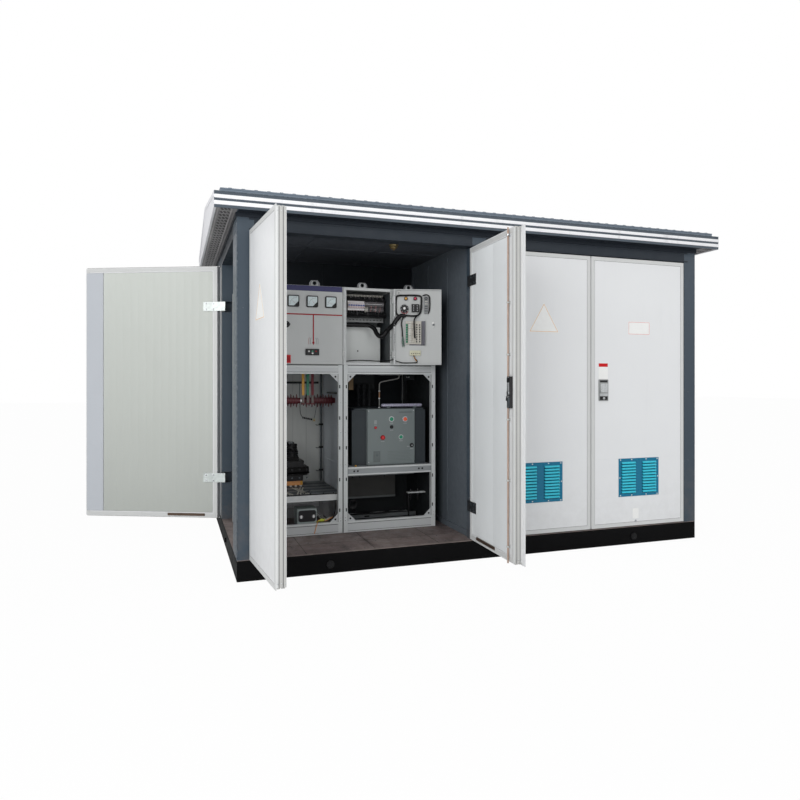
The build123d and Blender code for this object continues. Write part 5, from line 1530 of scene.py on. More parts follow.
# The thick sleeve and a thin wire: along the case, then across the hinge to the door
sleeve = Piece("relay_door_loom", "instrument_plastic", body="relay_panel_door")
LOOM_RADIUS = 0.0158
case_points = [(0.800, 0.668, 1.612), (0.860, 0.664, 1.613), (0.930, 0.655, 1.612), (0.990, 0.638, 1.609),
               (1.022, 0.615, 1.585), (1.034, 0.594, 1.550), (1.052, 0.574, 1.528), (1.076, 0.560, 1.535),
               (1.098, 0.549, 1.566)]
door_points = [(1.133, 0.487, 1.613), (1.150, 0.480, 1.643), (1.170, 0.476, 1.666)]
thin_points = [(0.797, 0.600, 1.344), (0.860, 0.575, 1.350), (0.940, 0.560, 1.351), (1.030, 0.560, 1.347),
               (1.070, 0.553, 1.348), (1.098, 0.548, 1.350)]
thin_door_points = [(1.132, 0.496, 1.357), (1.152, 0.483, 1.346), (1.180, 0.478, 1.337)]
for near, far, radius, sides, steps in ((case_points, door_points, LOOM_RADIUS, 12, 6),
                                        (thin_points, thin_door_points, 0.0034, 8, 5)):
    sleeve.run(near, radius, black_plastic, sides, steps)
    # One straight step crosses the hinge, so no ring lies where the bend is sharpest
    sleeve.run([near[-1], far[0]], radius, black_plastic, sides, 1)
    sleeve.run(far, radius, black_plastic, sides, steps)


def door_run(points, radius, material, sides, steps, start=()):
    """A wire through places on the open relay door, after a start given in the kiosk's frame."""
    places = [relay_leaf.place @ Vector((u, relay_leaf.side * v, z)) for u, v, z in points]
    sleeve.tube([*start, *places], radius, material, sides, steps)


# On the door the sleeve goes on, opens out and frames the switches
for radius, start, points in (
        (LOOM_RADIUS * 0.85, door_points[-1], ((0.062, 0.016, 1.674), (0.092, 0.015, 1.672))),
        (0.0068, None,
         ((0.086, 0.015, 1.676), (0.150, 0.014, 1.672), (0.190, 0.014, 1.684), (0.205, 0.014, 1.720),
          (0.206, 0.014, 1.780), (0.202, 0.014, 1.812), (0.170, 0.014, 1.820), (0.100, 0.014, 1.820),
          (0.036, 0.014, 1.816), (0.024, 0.014, 1.790), (0.022, 0.014, 1.730), (0.026, 0.015, 1.690),
          (0.044, 0.016, 1.672))),
        (0.0048, None,
         ((0.094, 0.020, 1.670), (0.070, 0.022, 1.650), (0.062, 0.020, 1.616), (0.067, 0.018, 1.575),
          (0.070, 0.020, 1.520))),
        (0.0054, None,
         ((0.196, 0.020, 1.690), (0.168, 0.030, 1.664), (0.154, 0.040, 1.640), (0.153, 0.042, 1.590),
          (0.156, 0.042, 1.530), (0.160, 0.041, 1.510))),
        (0.0040, None,
         ((0.214, 0.012, 1.818), (0.240, 0.014, 1.826), (0.262, 0.014, 1.816), (0.268, 0.012, 1.780),
          (0.266, 0.012, 1.720), (0.256, 0.012, 1.690))),
        (0.0024, None,
         ((0.013, 0.020, 1.668), (0.011, 0.018, 1.600), (0.013, 0.018, 1.500), (0.011, 0.018, 1.400),
          (0.018, 0.016, 1.345))),
        (0.0034, thin_door_points[-1], ((0.070, 0.012, 1.334), (0.130, 0.012, 1.334), (0.172, 0.013, 1.336),
                                        (0.174, 0.015, 1.352), (0.156, 0.018, 1.368),
                                        (0.152, 0.022, 1.388)))):
    door_run(points, radius, black_plastic, 10 if radius > 0.006 else 8, 5, [at(*start)] if start else [])
for k, finish in enumerate((yellow_sleeve, red_sleeve, ivory_plastic)):
    door_run([(0.172 - 0.002 * k, 0.015, 1.346), (0.160 - 0.004 * k, 0.020, 1.368),
              (0.148 + 0.005 * k, 0.022, 1.390)],
             0.0018, finish, 6, 4)
for k in range(5):
    door_run([(0.070 + 0.0015 * k, 0.018, 1.520), (0.066 + 0.004 * k, 0.020, 1.485 - 0.004 * k),
              (0.072 + 0.0035 * k, 0.019, 1.446 + 0.006 * (k % 3))], 0.0015,
             green_sleeve if k % 2 else dark_plastic, 6, 4)
loom = sleeve.make()
loom.parent = None
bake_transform(loom)

# Door devices, seen from behind
door_gear = relay_leaf.piece("devices", "instrument_plastic", 0.0006)
SKIN = 0.002
door_gear.disc(0.084, 1.725, SKIN, 0.014, 0.030, black_plastic, 32)
door_gear.disc(0.084, 1.725, 0.014, 0.034, 0.021, lock_steel, 28)
door_gear.disc(0.084, 1.725, 0.034, 0.0355, 0.009, white_plastic)
for number in range(8):
    turn = 2 * pi * number / 8 + 0.2
    u, z = 0.084 + 0.0255 * cos(turn), 1.725 + 0.0255 * sin(turn)
    door_gear.slab((u - 0.004, u + 0.004), (0.012, 0.020), (z - 0.004, z + 0.004), black_plastic)
    door_gear.disc(u, z, 0.020, 0.022, 0.0028, steel_bright, 12)
door_gear.run([(0.060, 0.018, 1.705), (0.072, 0.024, 1.691), (0.098, 0.024, 1.691), (0.110, 0.018, 1.705)],
              0.0022, red_sleeve)
for u in (0.076, 0.092):
    door_gear.disc(u, 1.684, SKIN, 0.018, 0.0040, white_plastic, 14)
for u, finish in ((0.095, yellow_sleeve), (0.162, mimic_cap)):
    door_gear.disc(u, 1.797, SKIN, 0.016, 0.0135, lock_steel, 24)
    door_gear.disc(u, 1.797, 0.016, 0.030, 0.0095, finish, 20, 0.008)
door_gear.slab((0.136, 0.190), (SKIN, 0.030), (1.700, 1.756), black_plastic)
for z in (1.712, 1.728, 1.744):
    for u in (0.150, 0.176):
        door_gear.disc(u, z, 0.030, 0.032, 0.0046, dark_plastic, 14)
        door_gear.disc(u, z, 0.032, 0.0328, 0.0026, steel_bright, 12)
door_gear.plate(rounded_outline(0.225, 0.256, 1.690, 1.812, 0.004), SKIN, 0.026, device_grey)
door_gear.disc(0.240, 1.797, 0.026, 0.030, 0.0105, black_plastic, 24)
door_gear.disc(0.240, 1.797, 0.030, 0.0306, 0.0048, device_grey, 16)
for z in (1.775, 1.758, 1.741, 1.724, 1.707):
    door_gear.slab((0.230, 0.251), (0.026, 0.0285), (z - 0.002, z + 0.003),
                   terminal_pale if z > 1.75 else lock_steel)
# Terminal block on its bracket
door_gear.slab((0.094, 0.206), (SKIN, 0.020), (1.468, 1.634), terminal_pale)
door_gear.slab((0.204, 0.232), (SKIN, 0.006), (1.460, 1.636), bracket_grey)
door_gear.slab((0.228, 0.232), (SKIN, 0.028), (1.460, 1.636), bracket_grey)
door_gear.slab((0.120, 0.232), (SKIN, 0.006), (1.460, 1.470), bracket_grey)
for row in range(9):
    z = 1.478 + row * 0.0172
    door_gear.slab((0.0945, 0.108), (0.020, 0.034), (z, z + 0.0135),
                   green_sleeve if row < 8 else terminal_pale)
    door_gear.slab((0.110, 0.136), (0.020, 0.038), (z, z + 0.0148), terminal_pale)
    door_gear.disc(0.123, z + 0.0074, 0.038, 0.0392, 0.0034, steel_bright, 12)
    if row % 2 == 0:
        door_gear.slab((0.138, 0.150), (0.020, 0.0415), (z + 0.001, z + 0.013), terminal_pale)
    if row < 8:
        door_gear.slab((0.164, 0.204), (0.020, 0.036), (z, z + 0.0150), terminal_pale)
        for u in (0.172, 0.193):
            door_gear.disc(u, z + 0.0075, 0.036, 0.0375, 0.0054, black_plastic, 14)
door_gear.slab((0.123, 0.201), (SKIN, 0.018), (1.387, 1.423), ivory_plastic)
for step in range(5):
    u = 0.129 + 0.014 * step
    door_gear.slab((u, u + 0.010), (0.018, 0.024), (1.392, 1.418), ivory_plastic)
    door_gear.slab((u + 0.002, u + 0.008), (0.0235, 0.0246), (1.398, 1.404), lock_steel)
# Cable clip, lock barrels, rim and edge fixings
case_low, case_high = box_bottom + 0.004, cabinet_top - 0.004
door_gear.run([(0.033, 0.006, 1.832), (0.036, 0.018, 1.846), (0.050, 0.020, 1.848), (0.058, 0.010, 1.834)],
              0.0036, white_plastic)
door_gear.disc(0.056, 1.836, SKIN, 0.008, 0.006, white_plastic, 16)
for z, radius in ((1.623, 0.0085), (1.594, 0.0050)):
    door_gear.disc(0.291, z, SKIN, 0.014, radius, white_plastic)
door_gear.slab((0.289, 0.302), (0.008, 0.011), (1.604, 1.616), dark_zinc)
door_gear.border((0.0062, 0.3508), (case_low + 0.0002, case_high - 0.0002), 0.0050, (0.0195, 0.0206),
                 edge_bright)
door_gear.slab((0.0112, 0.0185), (0.0185, 0.0198), (case_low + 0.006, case_high - 0.006), edge_bright)
for step in range(9):
    door_gear.head(door_gear.screw, 0.0150, 0.0198, 1.370 + step * 0.056, 0.0021, lock_steel, 1, 10)
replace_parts(door_gear.make(), "relay_door_devices")

# Breaker unit: a folded housing, its front plate with lamps and push buttons, and the bar across its top
unit_low, unit_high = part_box("breaker_unit")
unit_body = unit_low.y + 0.014
unit_depth = unit_low.y - front
unit = Piece("breaker_housing", "breaker_paint", 0.0012)
unit.box((unit_low.x, unit_body + 0.004, unit_low.z), unit_high, breaker_side)
for x0, x1, low in ((unit_low.x, unit_low.x + 0.018, unit_low.z),
                    (unit_high.x - 0.018, unit_high.x, unit_low.z),
                    (unit_low.x, unit_high.x, unit_high.z - 0.014)):
    unit.box((x0, unit_body, low), (x1, unit_body + 0.006, unit_high.z), breaker_side)
unit.slab((0.9575, 1.3305), (unit_depth + 0.010, unit_depth + 0.020),
          (unit_low.z + 0.002, unit_high.z - 0.004), breaker_edge)
unit.slab((0.9635, 1.3245), (unit_depth, unit_depth + 0.014), (unit_low.z + 0.003, unit_high.z - 0.006),
          breaker_front)
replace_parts(unit.make(), "breaker_unit")

buttons = Piece("breaker_controls", "instrument_plastic", 0.0004)


def mark(t, z, material, proud=0.0008):
    """A thin blank plate on the breaker's front."""
    buttons.slab(t, (unit_depth - proud, unit_depth), z, material)


for t, z, radius, finish, ring, proud in (
        (1.145, 0.924, 0.0150, button_green, steel_bright, 0.010),
        (1.250, 0.922, 0.0150, button_orange, steel_bright, 0.010),
        (1.146, 0.866, 0.0100, lock_steel, lock_steel, 0.010),
        (1.024, 0.863, 0.0075, button_red, dark_red, 0.006),
        (1.079, 0.790, 0.0135, button_red, dark_red, 0.010),
        (1.218, 0.791, 0.0135, button_green, steel_bright, 0.010),
        (1.301, 0.728, 0.0120, lock_steel, lock_steel, 0.010)):
    # A push button or lamp in its ring; the large ones have a blank legend plate below
    buttons.disc(t, z, unit_depth, unit_depth - 0.0035, radius * 1.32, ring, 28)
    buttons.disc(t, z, unit_depth - 0.0035, unit_depth - proud, radius, finish, 24, radius * 0.86)
    buttons.disc(t, z, unit_depth - proud, unit_depth - proud - 0.0012, radius * 0.5, finish, 18,
                 radius * 0.3)
    low = z - radius * 1.32 - 0.014
    if radius > 0.009:
        mark((t - 0.013, t + 0.013), (low, low + 0.007), legend_grey)
buttons.disc(1.301, 0.728, unit_depth - 0.010, unit_depth - 0.0128, 0.0052, steel_bright, 18)
mark((1.264, 1.284), (0.716, 0.723), legend_grey)
mark((1.013, 1.034), (0.890, 0.917), legend_grey)
mark((1.013, 1.034), (0.879, 0.884), legend_grey)
mark((1.203, 1.303), (0.970, 0.977), breaker_edge, 0.0006)
mark((1.008, 1.060), (0.612, 0.692), legend_dark, 0.0010)
buttons.border((1.012, 1.056), (0.616, 0.688), 0.0016, (unit_depth - 0.0016, unit_depth - 0.0008),
               breaker_edge)
buttons.disc(1.034, 0.662, unit_depth - 0.001, unit_depth - 0.004, 0.009, breaker_edge)
for number in range(7):
    z = 0.622 + number * 0.0105
    mark((1.115, 1.300 - 0.012 * (number % 3)), (z, z + 0.0022), legend_dark, 0.0005)
for t in (0.972, 1.316):
    for z in (0.612, 0.985):
        buttons.screw(at(t, unit_depth, z), FORWARD, 0.0042, steel_bright)
buttons.make()

bar = Piece("breaker_top_bar", "breaker_paint", 0.0005)
bar_y, bar_z = unit_body + 0.022, 1.024
BAR_RADIUS = 0.0125
bar.cylinder((along(1.088), bar_y, bar_z), (along(1.382), bar_y, bar_z), BAR_RADIUS, bar_pale, 28)
for t, way in ((1.088, -1), (1.382, 1)):
    for start, end, wide, narrow in ((0, 0.007, 1, 0.84), (0.007, 0.012, 0.84, 0.4)):
        bar.cylinder((along(t) + way * start, bar_y, bar_z), (along(t) + way * end, bar_y, bar_z),
                     BAR_RADIUS * wide, bar_pale, 28, BAR_RADIUS * narrow)
for x in (along(1.13), along(1.335)):
    bar.box((x - 0.012, bar_y - 0.010, unit_high.z - 0.001), (x + 0.012, bar_y + 0.010, bar_z),
            breaker_edge)
bar.make()

# Shelf: a folded front rail with bolts in pairs, and the runner under it
shelf_trim = Piece("shelf_trim", "cabinet_paint", 0.0006)
for levels in ((0.578, 0.590), (0.531, 0.541)):
    shelf_trim.slab((0.8055, 1.4345), (0.5305, 0.535), levels, post_steel)
for t in (0.852, 0.878, 1.339, 1.366):
    shelf_trim.bolt(at(t, 0.533, 0.560), FORWARD, 0.0052, lock_steel)
shelf_trim.slab((0.809, 1.330), (0.615, 0.630), (0.512, 0.528), shadow_steel)
for t in (0.862, 0.915, 1.10):
    shelf_trim.upright(t, 0.622, 0.512, 0.500, 0.006, lock_steel, 16)
shelf_trim.upright(0.866, 0.545, 0.590, 0.602, 0.006, yellow_sleeve, 14)
shelf_trim.make()

# Right bay behind and below the breaker: sheets, rails, a bracket with insulators and a coil of cable
right_bay = Piece("right_bay_inside", "cabinet_paint", 0.0008)
# The near-black sheets lining the bay are painted shade, dark where the bay lies behind the breaker
for t, s, z, finish in (
        ((0.8055, 1.4345), (1.198, 1.199), (0.132, 0.585), bay_dark),
        ((0.7745, 0.7755), (0.570, 1.196), (0.132, 1.31), bay_dark),
        ((1.4645, 1.4665), (0.570, 1.196), (0.132, 1.31), bay_dark),
        ((0.7755, 1.4645), (0.600, 1.190), (floor_top, floor_top + 0.002), bay_dark),
        ((0.7755, 0.8075), (1.1955, 1.1985), (0.132, 1.31), bay_dark),
        ((1.4325, 1.4645), (1.1955, 1.1985), (0.132, 1.31), bay_dark),
        ((0.90, 1.335), (1.10, 1.105), (0.283, 0.500), brown_back),
        ((0.90, 1.335), (1.095, 1.105), (0.268, 0.284), shadow_steel),
        ((0.80, 1.437), (0.885, 0.915), (0.150, 0.176), shadow_steel),
        ((1.02, 1.06), (0.884, 0.886), (0.158, 0.168), slot_dark),
        ((1.325, 1.465), (0.740, 0.780), (0.345, 0.354), post_steel),
        ((1.337, 1.347), (0.775, 0.785), (0.150, 0.345), lock_steel),
        ((0.876, 0.912), (0.800, 0.803), (1.136, 1.250), tan_board),
        ((0.93, 1.14), (1.03, 1.036), (1.14, 1.25), bay_dark),
        ((1.34, 1.43), (0.902, 0.906), (1.21, 1.26), bay_dark)):
    right_bay.slab(t, s, z, finish)
for t in (1.352, 1.410):
    for z in (0.343, 0.326, 0.309):
        right_bay.upright(t, 0.760, z, z - 0.010, 0.013, lock_steel, 18, 0.010)
        right_bay.upright(t, 0.760, z + 0.002, z - 0.017, 0.007, lock_steel, 14)
    right_bay.upright(t, 0.760, 0.354, 0.374, 0.010, lock_steel, 18, 0.007)
for t, wide in ((1.000, 0.030), (1.045, 0.026), (1.090, 0.024)):
    right_bay.upright(t, 1.000, 0.98, 1.180, wide * 0.55, bay_dark)
    for level in range(6):
        z = 1.00 + level * 0.028
        right_bay.upright(t, 1.000, z, z + 0.012, wide * 0.72, bay_dark, 20, wide * 0.58)
for t in (1.370, 1.386):
    right_bay.screw(at(t, 0.900, 1.235), FORWARD, 0.005, steel_bright)
for turn in range(3):
    ring_radius = 0.030 - 0.004 * turn
    right_bay.run([(0.906 + ring_radius * cos(pi * k / 6), 0.800 + 0.010 * turn,
                    0.277 + ring_radius * sin(pi * k / 6))
                   for k in range(13)], 0.0060, lock_steel, 8, 3)
for points in ([(0.906, 0.800, 0.245), (0.95, 0.82, 0.206), (1.03, 0.84, 0.196), (1.12, 0.85, 0.190),
                (1.20, 0.83, 0.198)],
               [(0.880, 0.800, 0.262), (0.850, 0.79, 0.205), (0.83, 0.78, 0.180)]):
    right_bay.run(points, 0.0065, lock_steel, 8, 5)
right_bay.make()

pipe = Piece("breaker_pipe", "breaker_paint")
pipe.run([(1.074, 0.660, 1.000), (1.074, 0.660, 1.100), (1.074, 0.660, 1.172), (1.078, 0.660, 1.188),
          (1.094, 0.660, 1.197),
          (1.150, 0.658, 1.208), (1.206, 0.656, 1.219), (1.222, 0.655, 1.226), (1.226, 0.655, 1.242),
          (1.226, 0.655, 1.280), (1.226, 0.655, 1.314)], 0.0048, pipe_pale, 10, 4)
for low, high, radius, finish, sides in (
        (1.075, 1.128, 0.0060, pipe_copper, 16), (1.071, 1.079, 0.0078, steel_bright, 6),
        (1.124, 1.132, 0.0078, steel_bright, 6), (1.000, 1.014, 0.0090, steel_bright, 6)):
    pipe.upright(1.074, 0.660, low, high, radius, finish, sides)
pipe.make()

# Left bay: its sheets, a back rail and an upright pipe with its clips
CELL_LEFT, CELL_RIGHT, CELL_BACK = 0.075, 0.7655, 1.1985
left_bay = Piece("left_bay_inside", "cabinet_paint", 0.0006)
# The sheets below the tray are painted near white: painted light
for k in range(6):
    t = CELL_LEFT + 0.032 + k * 0.1045
    for low, high, finish in ((0.410, head_rail_low, bay_grey), (rail_top, 0.357, lit_low_sheet)):
        left_bay.slab((t, t + 0.1030), (CELL_BACK - 0.0012, CELL_BACK + 0.001), (low, high), finish)
for t, s, z, finish in (
        ((-0.0006, 0.0002), (0.570, 1.196), (0.410, 1.300), side_grey),
        ((-0.0006, 0.0002), (0.570, 1.196), (0.140, 0.357), lit_low_sheet),
        ((-0.0030, -0.0004), (0.58, 1.19), (0.594, 0.606), side_grey),
        ((-0.0030, -0.0004), (0.58, 1.19), (0.854, 0.866), side_grey),
        ((-0.0030, -0.0004), (0.58, 1.19), (1.114, 1.126), side_grey),
        ((-0.6565, -0.040), (1.1825, 1.1965), (1.183, 1.199), lock_steel),
        ((-0.014, -0.001), (0.640, 1.000), (1.108, 1.120), lock_steel)):
    left_bay.slab((CELL_RIGHT + t[0], CELL_RIGHT + t[1]), s, z, finish)
left_bay.run([(CELL_RIGHT - 0.020, CELL_BACK - 0.014, z) for z in (0.412, 0.80, 1.300)], 0.0070, dark_zinc,
             12, 2)
for z in (0.50, 0.68, 0.86, 1.04):
    left_bay.slab((CELL_RIGHT - 0.036, CELL_RIGHT - 0.006), (CELL_BACK - 0.024, CELL_BACK - 0.001),
                  (z - 0.007, z + 0.007), lock_steel)
    left_bay.run([(CELL_RIGHT - 0.028, CELL_BACK - 0.016, z),
                  (CELL_RIGHT - 0.050, CELL_BACK - 0.018, z - 0.006),
                  (CELL_RIGHT - 0.060, CELL_BACK - 0.004, z - 0.002)], 0.0026, lock_steel, 6, 4)
left_bay.make()

# Busbars: painted flat bars with dark metal below
bars = Piece("painted_busbars", "busbar_metal", 0.0012)
bar_low, bar_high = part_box("busbars")
BUS_WIDTH, BUS_PITCH = 0.025, 0.034
for number, finish in enumerate((yellow_sleeve, green_sleeve, busbar_red)):
    x0 = bar_low.x + number * BUS_PITCH
    x1 = x0 + BUS_WIDTH
    bars.box((x0 + 0.003, bar_low.y, 1.100), (x1 - 0.003, bar_high.y - 0.001, bar_high.z), finish)
    bars.box((x0 + 0.004, bar_low.y + 0.0015, bar_low.z + 0.004), (x1 - 0.004, bar_high.y - 0.002, 1.101),
             bus_metal)
    for z in (1.16, 1.24):
        bars.box((x0 + 0.002, bar_low.y - 0.0006, z), (x1 - 0.002, bar_high.y, z + 0.012), finish)
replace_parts(bars.make(), "busbars")

# Insulators: two maroon posts in one line, with thin sheds and a steel joint between them
posts = Piece("shed_insulators", "clamp_plastic")
clamp_low, clamp_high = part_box("busbar_clamp")
axis_y, axis_z = (clamp_low.y + clamp_high.y) / 2 + 0.002, (clamp_low.z + clamp_high.z) / 2
SHED_STEP = 0.0205
SHED_TALL, SHED_DEEP = 0.0480, 0.0265
for start, end in ((0.082, 0.508), (0.522, 0.762)):
    posts.cylinder((along(start), axis_y, axis_z), (along(end), axis_y, axis_z), 0.0200, maroon)
    for k in range(int((end - start) / SHED_STEP)):
        x = along(start + (k + 0.5) * SHED_STEP)
        tall = SHED_TALL if k % 2 else SHED_TALL * 0.80
        waves = [(pi * j / 12, 0.90 if j % 2 else 1) for j in range(24)]
        outline = [(axis_y + SHED_DEEP * cos(turn) * wave, axis_z + tall * sin(turn) * wave) for turn,
                   wave in waves]
        posts.prism(outline, x - 0.0026, x + 0.0026, maroon, "X")
        posts.cylinder((x - 0.0075, axis_y, axis_z), (x + 0.0075, axis_y, axis_z), 0.0245, maroon)
posts.cylinder((along(0.508), axis_y, axis_z), (along(0.522), axis_y, axis_z), 0.0175, steel_bright, 24)
posts.bolt((along(0.515), axis_y - 0.016, axis_z), FORWARD, 0.008, steel_bright)
posts.box((clamp_low.x + 0.004, clamp_high.y - 0.006, clamp_low.z + 0.020),
          (clamp_high.x - 0.001, clamp_high.y, clamp_high.z - 0.020), lock_steel)
for number in range(3):
    x = bar_low.x + number * BUS_PITCH + BUS_WIDTH / 2
    clamp = [(x - 0.013, axis_z - 0.028), (x + 0.013, axis_z - 0.028), (x + 0.010, axis_z + 0.028),
             (x - 0.004, axis_z + 0.028)]
    posts.loft(*([(a, clamp_low.y + deep, b) for a, b in clamp] for deep in (-0.001, 0.020)), maroon)
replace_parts(posts.make(), "busbar_clamp")

# Small terminal and its wires on the back sheet
tap = Piece("back_terminal", "instrument_plastic", 0.0004, 1)
for k in range(6):
    t, z = 0.598 + 0.0135 * k, 0.908 - 0.0030 * k
    tap.slab((t, t + 0.010), (1.1845, 1.1975), (z, z + 0.014), lock_steel if k % 2 else dark_plastic)
tap.slab((0.680, 0.700), (1.1785, 1.1975), (0.882, 0.906), ivory_plastic)
tap.slab((0.684, 0.693), (1.1773, 1.1795), (0.888, 0.898), yellow_sleeve)
tap.run([(0.602, 1.1905, 0.916), (0.586, 1.1865, 0.940), (0.580, 1.1925, 0.99), (0.576, 1.1885, 1.184)],
        0.0024, lock_steel, 6, 5)
tap.run([(0.690, 1.1885, 0.905), (0.700, 1.1845, 0.95), (0.712, 1.1925, 1.02)], 0.0020, dark_plastic, 6, 5)
tap.make()

# Load switch: stepped black mouldings, drums and arms on a pale insulating block
switch = Piece("load_switch", "switch_metal", 0.0012)
low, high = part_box("switch_unit")
# Each block: its two ends, how far its front and rear are from the unit's, and its levels over the foot
for x0, x1, y0, y1, z0, z1, finish in (
        (low.x + 0.010, high.x - 0.055, 0.012, -0.010, 0.012, 0.046, orange_block),
        (high.x - 0.066, high.x - 0.050, 0.008, -0.014, 0.016, 0.044, yellow_sleeve),
        (low.x, high.x - 0.048, 0.004, -0.004, 0.046, 0.090, black_plastic),
        (low.x, high.x - 0.004, 0, 0, 0.088, 0.150, switch_black),
        (low.x, high.x - 0.0005, 0, -0.030, 0.100, 0.112, black_plastic),
        (low.x, high.x - 0.040, 0.004, -0.006, 0.150, 0.196, black_plastic),
        (low.x, high.x - 0.078, 0.014, -0.016, 0.196, 0.226, switch_black),
        *((low.x + 0.022 + 0.038 * k, low.x + 0.036 + 0.038 * k, 0.008, -0.008, 0, 0.013,
           terminal_pale) for k in range(7))):
    switch.box((x0, low.y + y0, low.z + z0), (x1, high.y + y1, low.z + z1), finish)
for k in range(6):
    z = low.z + 0.226 + 0.0165 * k
    radius = 0.074 - 0.004 * (k % 2) + (0.006 if k < 3 else -0.006)
    for offset in (0.000, 0.105, 0.205):
        x = high.x - 0.128 - offset + (0.004 if k % 2 else 0.0)
        if x - 0.052 >= low.x:
            switch.cylinder((x, low.y + 0.070, z), (x, low.y + 0.070, z + 0.0135), radius * 0.70,
                            black_plastic, 24, radius * 0.62)
for x in (high.x - 0.150, high.x - 0.255):
    switch.cylinder((x, low.y + 0.020, low.z + 0.330), (x + 0.020, low.y + 0.006, low.z + 0.338), 0.010,
                    steel_bright, 16)
    switch.box((x - 0.045, low.y + 0.030, low.z + 0.318), (x + 0.038, low.y + 0.100, low.z + 0.336),
               switch_black)
    switch.cylinder((x + 0.036, low.y + 0.026, low.z + 0.270), (x + 0.036, low.y + 0.100, low.z + 0.270),
                    0.014, switch_black)
    switch.tube([(x + across, low.y + deep, low.z + up) for across, deep, up in (
        (-0.02, 0.02, 0.30), (0.022, 0.008, 0.285), (0.046, 0.016, 0.245), (0.050, 0.02, 0.200))], 0.0048,
                lock_steel, 8, 5)
for x in (high.x - 0.020, high.x - 0.075, high.x - 0.130):
    switch.bolt((x, low.y, low.z + 0.130), FORWARD, 0.0065, lock_steel)
    switch.bolt((x, low.y + 0.004, low.z + 0.068), FORWARD, 0.0050, dark_zinc)
switch.screw((high.x - 0.010, low.y, low.z + 0.094), FORWARD, 0.004, steel_bright)
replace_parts(switch.make(), "switch_unit")

# Tray: slats with slots between them, pale strips and a dark edge over the folded front
tray = Piece("tray_slats", "cabinet_paint", 0.0008)
TRAY_TOP, TRAY_FRONT = 0.404, 0.567
tray_ends = (CELL_LEFT + 0.004, CELL_RIGHT - 0.004)
for s0, s1, z0, z1, finish in ((-0.003, 0.010, -0.003, 0.004, lock_steel),
                               (-0.002, 0.001, -0.044, -0.003, edge_bright),
                               (-0.0035, 0.001, -0.046, -0.038, post_steel)):
    tray.slab(tray_ends, (TRAY_FRONT + s0, TRAY_FRONT + s1), (TRAY_TOP + z0, TRAY_TOP + z1), finish)
for k in range(9):
    s = TRAY_FRONT + 0.020 + k * 0.068
    tray.slab(tray_ends, (s, s + 0.052), (TRAY_TOP - 0.001, TRAY_TOP + 0.003),
              shadow_grey if k % 2 else shadow_steel)
for t, lean in ((0.40, 0.060), (0.42, 0.060), (0.455, -0.072), (0.475, -0.072), (0.515, 0.048),
                (0.535, 0.048)):
    x, y0, y1 = along(t), inward(TRAY_FRONT + 0.030), inward(TRAY_FRONT + 0.330)
    tray.prism([(x, y0), (x + 0.010, y0), (x + 0.010 - lean, y1), (x - lean, y1)],
               TRAY_TOP + 0.003, TRAY_TOP + 0.007, terminal_pale, "Z")
for t in (0.395, 0.470, 0.548, 0.640, 0.712):
    tray.bolt(at(t, TRAY_FRONT + 0.012, TRAY_TOP + 0.003), (0, 0, 1), 0.0055, lock_steel)
tray.run([(0.505, TRAY_FRONT + 0.012, TRAY_TOP + 0.012), (0.545, TRAY_FRONT + 0.060, TRAY_TOP + 0.016),
          (0.575, TRAY_FRONT + 0.150, TRAY_TOP + 0.014)], 0.0030, lock_steel, 8, 5)
tray.make()

# Socket box: a grey case with a dark rounded face and two round outlets, on its plate above the rail
socket = Piece("socket_box", "instrument_plastic", 0.0012)
low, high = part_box("terminal_box")
face_y = low.y + 0.004
socket.box((low.x, face_y, low.z), high, socket_grey)


def face_plate(outline, near, far, material):
    """A plate that stands on the socket box's face."""
    socket.loft(*([(x, face_y - proud, z) for x, z in outline] for proud in (near, far)), material)


for inset, radius, near, far, finish in ((0.006, 0.016, 0, 0.003, lock_steel),
                                         (0.010, 0.014, 0.003, 0.0038, black_plastic)):
    face_plate(rounded_outline(low.x + inset, high.x - inset, low.z + 0.024 + inset, high.z - 0.004 - inset,
                               radius),
               near, far, finish)
for x in (low.x + 0.026, high.x - 0.022):
    z = low.z + 0.066
    socket.cylinder((x, face_y - 0.003, z), (x, face_y - 0.0044, z), 0.0135, dark_plastic, 28)
    face_plate([(x + 0.0075 * cos(k * pi / 8), z + 0.0115 * sin(k * pi / 8)) for k in range(16)], 0.0042,
               0.0058, white_plastic)
socket.box((low.x - 0.012, low.y + 0.010, low.z - 0.004), (high.x - 0.030, low.y + 0.060, low.z + 0.002),
           terminal_pale)
for x in (low.x - 0.004, low.x + 0.012, low.x + 0.026):
    socket.cylinder((x, low.y + 0.008, low.z + 0.006), (x, low.y + 0.004, low.z + 0.006), 0.0042,
                    lock_steel, 12)
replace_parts(socket.make(), "terminal_box")

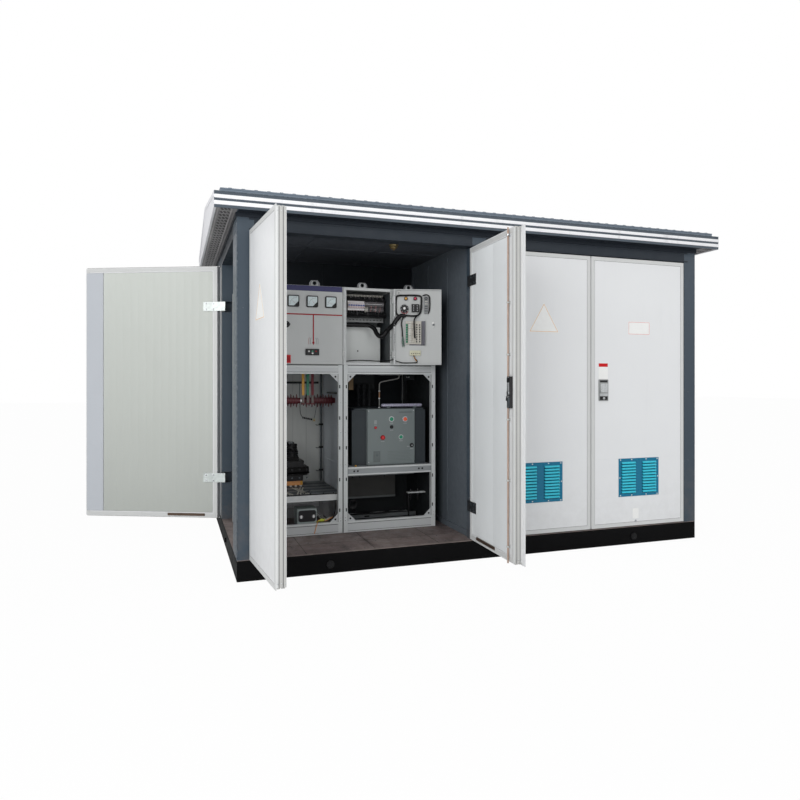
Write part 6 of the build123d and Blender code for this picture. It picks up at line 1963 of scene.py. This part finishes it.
# Short wires under the tray
loose = Piece("loose_wires", "instrument_plastic")
for radius, finish, route in (
        (0.0026, pipe_pale,
         ((0.588, 0.600, 0.276), (0.604, 0.590, 0.268), (0.628, 0.583, 0.248), (0.655, 0.582, 0.224))),
        (0.0026, pipe_pale,
         ((0.588, 0.602, 0.262), (0.600, 0.592, 0.255), (0.622, 0.586, 0.236), (0.646, 0.584, 0.214))),
        (0.0034, yellow_green,
         ((0.655, 0.582, 0.226), (0.640, 0.578, 0.222), (0.622, 0.576, 0.226), (0.610, 0.574, 0.219),
          (0.596, 0.572, 0.214), (0.586, 0.566, 0.211))),
        (0.0028, orange_block,
         ((0.612, 0.574, 0.224), (0.598, 0.570, 0.216), (0.588, 0.5295, 0.2085), (0.580, 0.5275, 0.190),
          (0.572, 0.5275, 0.160), (0.566, 0.5280, 0.140))),
        (0.0034, terminal_pale, ((0.650, 0.582, 0.218), (0.668, 0.580, 0.226), (0.688, 0.576, 0.240))),
        (0.0030, orange_block,
         ((0.646, 0.584, 0.212), (0.664, 0.580, 0.216), (0.690, 0.574, 0.230), (0.706, 0.572, 0.240))),
        (0.0040, lock_steel,
         ((0.560, 0.600, 0.214), (0.590, 0.596, 0.222), (0.622, 0.600, 0.214), (0.655, 0.606, 0.220),
          (0.690, 0.604, 0.216), (0.716, 0.598, 0.236), (0.728, 0.590, 0.290), (0.732, 0.585, 0.352))),
        (0.0032, lock_steel,
         ((0.570, 0.612, 0.212), (0.600, 0.610, 0.238), (0.618, 0.606, 0.242), (0.640, 0.612, 0.216)))):
    loose.run(route, radius, finish, 8, 5)
loose.plate([(0.612, 0.212), (0.642, 0.212), (0.646, 0.226), (0.616, 0.230)], 0.574, 0.582, yellow_green)
loose.make()

# Ceiling lamp: a base plate, a bronze holder and its pale globe rim
lamp_fitting = Piece("ceiling_lamp_fitting", "lamp_metal", 0.0005)
low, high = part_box("ceiling_lamp")
lamp_x, lamp_y = (low.x + high.x) / 2, (low.y + high.y) / 2
profile = ((0.000, 0.030), (0.006, 0.034), (0.012, 0.031), (0.018, 0.026), (0.022, 0.029), (0.030, 0.022),
           (0.038, 0.012),
           (0.044, 0.005))
for (drop, wide), (next_drop, narrow) in zip(profile, profile[1:]):
    lamp_fitting.cylinder((lamp_x, lamp_y, high.z - drop), (lamp_x, lamp_y, high.z - next_drop), wide,
                          lamp_metal if drop < 0.030 else lamp_glow, 28, narrow)
for turn in (radians(30), radians(150), radians(270)):
    lamp_fitting.screw((lamp_x + 0.024 * cos(turn), lamp_y + 0.024 * sin(turn), high.z - 0.0080),
                       (0, 0, -1), 0.0036, steel_bright)
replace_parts(lamp_fitting.make(), "ceiling_lamp")
